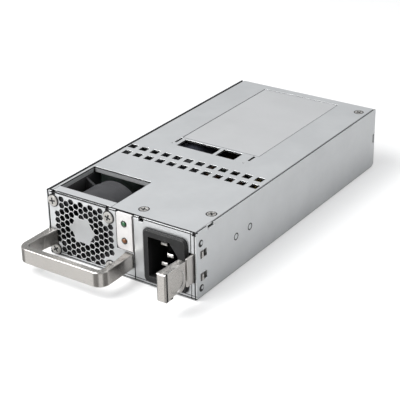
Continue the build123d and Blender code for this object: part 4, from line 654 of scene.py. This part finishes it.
# Thin printed outline round the blank label
low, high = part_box("rating_label")
outline = bmesh.new()
frames = []
for inset in (0, OUTLINE_WIDTH):
    for z in (high.z, high.z + OUTLINE_THICKNESS):
        frames.append([outline.verts.new((x, y, z)) for x, y in (
            (low.x + inset, low.y + inset), (high.x - inset, low.y + inset),
            (high.x - inset, high.y - inset), (low.x + inset, high.y - inset))])
for first, second in ((0, 1), (1, 3), (3, 2), (2, 0)):
    for i in range(4):
        j = (i + 1) % 4
        outline.faces.new((frames[first][i], frames[first][j], frames[second][j], frames[second][i]))
piece("label_outline", outline, "outline_grey")


# Wire wound on a standing ring: one rounded turn after another through its hole
def winding(name, node, core, radii, width, wire, turns, gaps, gap_angle):
    low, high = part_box(core)
    centre = (low + high) / 2
    outer, inner = radii[0] + wire, radii[1] - wire
    half = width / 2 + wire
    corner = WIRE_CORNER * wire
    # Path of one turn as (radius, distance along the ring's axis), with rounded corners
    loop = []
    for radial, axial, start in (
            (outer - corner, half - corner, 0), (inner + corner, half - corner, 90),
            (inner + corner, -half + corner, 180), (outer - corner, -half + corner, 270)):
        for step in (0, 45, 90):
            angle = math.radians(start + step)
            loop.append((radial + corner * math.cos(angle), axial + corner * math.sin(angle)))
    mesh = bmesh.new()
    for count in range(turns):
        angle = 360 * (count + 0.5) / turns
        if any(abs((angle - gap + 180) % 360 - 180) < gap_angle / 2 for gap in gaps):
            continue
        lean = Matrix.Rotation(math.radians(-angle), 4, "Y")
        sections = []
        for k, (radial, axial) in enumerate(loop):
            before, after = loop[k - 1], loop[(k + 1) % len(loop)]
            along = Vector((after[0] - before[0], after[1] - before[1], 0)).normalized()
            across = Vector((along.y, -along.x, 0))
            drift = (k / len(loop) - 0.5) * wire
            section = []
            for i in range(WIRE_SIDES):
                turn = 2 * math.pi * i / WIRE_SIDES
                offset = across * math.cos(turn) * wire * WIRE_FILL
                local = Vector((radial + offset.x, axial + offset.y,
                                drift + math.sin(turn) * wire * WIRE_FILL))
                section.append(mesh.verts.new(centre + lean @ local))
            sections.append(section)
        for lower, upper in zip(sections, sections[1:] + sections[:1]):
            for i in range(WIRE_SIDES):
                j = (i + 1) % WIRE_SIDES
                mesh.faces.new((lower[i], lower[j], upper[j], upper[i]))
    made = piece(name, mesh, "copper_wire", sharp=WIRE_SHARP)
    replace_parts(made, node)


for wound in WINDINGS:
    winding(*wound)

# Floor: pale, lit up a little for the camera, and it keeps the object's shadow
floor_mesh = bmesh.new()
bmesh.ops.create_grid(floor_mesh, x_segments=2, y_segments=2, size=FLOOR_HALF)
floor_data = bpy.data.meshes.new("floor")
floor_mesh.to_mesh(floor_data)
floor_mesh.free()
floor = bpy.data.objects.new("floor", floor_data)
bpy.context.collection.objects.link(floor)
pale = bpy.data.materials.new("floor_pale")
pale.use_nodes = True
tree = pale.node_tree
surface = tree.nodes["Principled BSDF"]
put(surface, Base_Color=FLOOR_COLOUR, Roughness=0.9, Specular_IOR_Level=0.1,
    Emission_Color=(1, 1, 1, 1))
rays = tree.nodes.new("ShaderNodeLightPath")
lift = maths(tree, "MULTIPLY", rays.outputs["Is Camera Ray"], FLOOR_LIFT)
tree.links.new(lift, surface.inputs["Emission Strength"])
floor_data.materials.append(pale)

# World: white to the camera, and to light and reflections a soft room, darker below
world = bpy.data.worlds.new("studio")
bpy.context.scene.world = world
world.use_nodes = True
tree = world.node_tree
nodes, links = tree.nodes, tree.links
direction = nodes.new("ShaderNodeTexCoord").outputs["Generated"]
split = nodes.new("ShaderNodeSeparateXYZ")
links.new(direction, split.inputs["Vector"])
tones = ramp(tree, split.outputs["Z"], ROOM_TONES)
# Dark gap between the front and the right of the room, which rounded metal corners mirror
toward = maths(tree, "DOT_PRODUCT", direction, DARK_GAP_DIRECTION, kind="ShaderNodeVectorMath")
fade = ranged(tree, toward, DARK_GAP_FADE, (1.0, DARK_GAP_LEVEL))
dim = nodes.new("ShaderNodeVectorMath")
dim.operation = "SCALE"
links.new(tones, dim.inputs[0])
links.new(fade, dim.inputs["Scale"])
room = nodes["Background"]
links.new(dim.outputs["Vector"], room.inputs["Color"])
white = nodes.new("ShaderNodeBackground")
put(white, Color=(1, 1, 1, 1), Strength=1.0)
rays = nodes.new("ShaderNodeLightPath")
choose = nodes.new("ShaderNodeMixShader")
links.new(rays.outputs["Is Camera Ray"], choose.inputs["Fac"])
links.new(room.outputs["Background"], choose.inputs[1])
links.new(white.outputs["Background"], choose.inputs[2])
links.new(choose.outputs["Shader"], nodes["World Output"].inputs["Surface"])

# Soft area lamps that look at the object
for name, place, (width, height), power in STUDIO_LAMPS:
    light = bpy.data.lights.new(name, "AREA")
    light.shape = "RECTANGLE"
    light.size, light.size_y = width, height
    light.energy = power
    lamp = bpy.data.objects.new(name, light)
    lamp.location = place
    aim = Vector(LAMP_TARGET) - Vector(place)
    lamp.rotation_euler = aim.to_track_quat("-Z", "Y").to_euler()
    bpy.context.collection.objects.link(lamp)

# Camera at the photograph's angle
camera = bpy.data.cameras.new("photo")
camera.lens = CAMERA_LENS
camera.sensor_width = CAMERA_SENSOR
camera.clip_start, camera.clip_end = CAMERA_CLIP
azimuth, elevation, roll = map(math.radians, (CAMERA_AZIMUTH, CAMERA_ELEVATION, CAMERA_ROLL))
away = Vector((math.sin(azimuth) * math.cos(elevation), -math.cos(azimuth) * math.cos(elevation),
               math.sin(elevation)))
level = Vector((math.cos(azimuth), math.sin(azimuth), 0))
rise = away.cross(level)
right = level * math.cos(roll) + rise * math.sin(roll)
top = rise * math.cos(roll) - level * math.sin(roll)
eye = bpy.data.objects.new("photo_camera", camera)
axes = Matrix((right, top, away)).transposed().to_4x4()
start = right * CAMERA_OFFSET[0] + top * CAMERA_OFFSET[1] + away * CAMERA_DISTANCE
eye.matrix_world = Matrix.Translation(start + Vector((0, FRONT_Y, 0))) @ axes
bpy.context.collection.objects.link(eye)
bpy.context.scene.camera = eye

bpy.context.scene.view_settings.view_transform = "Standard"
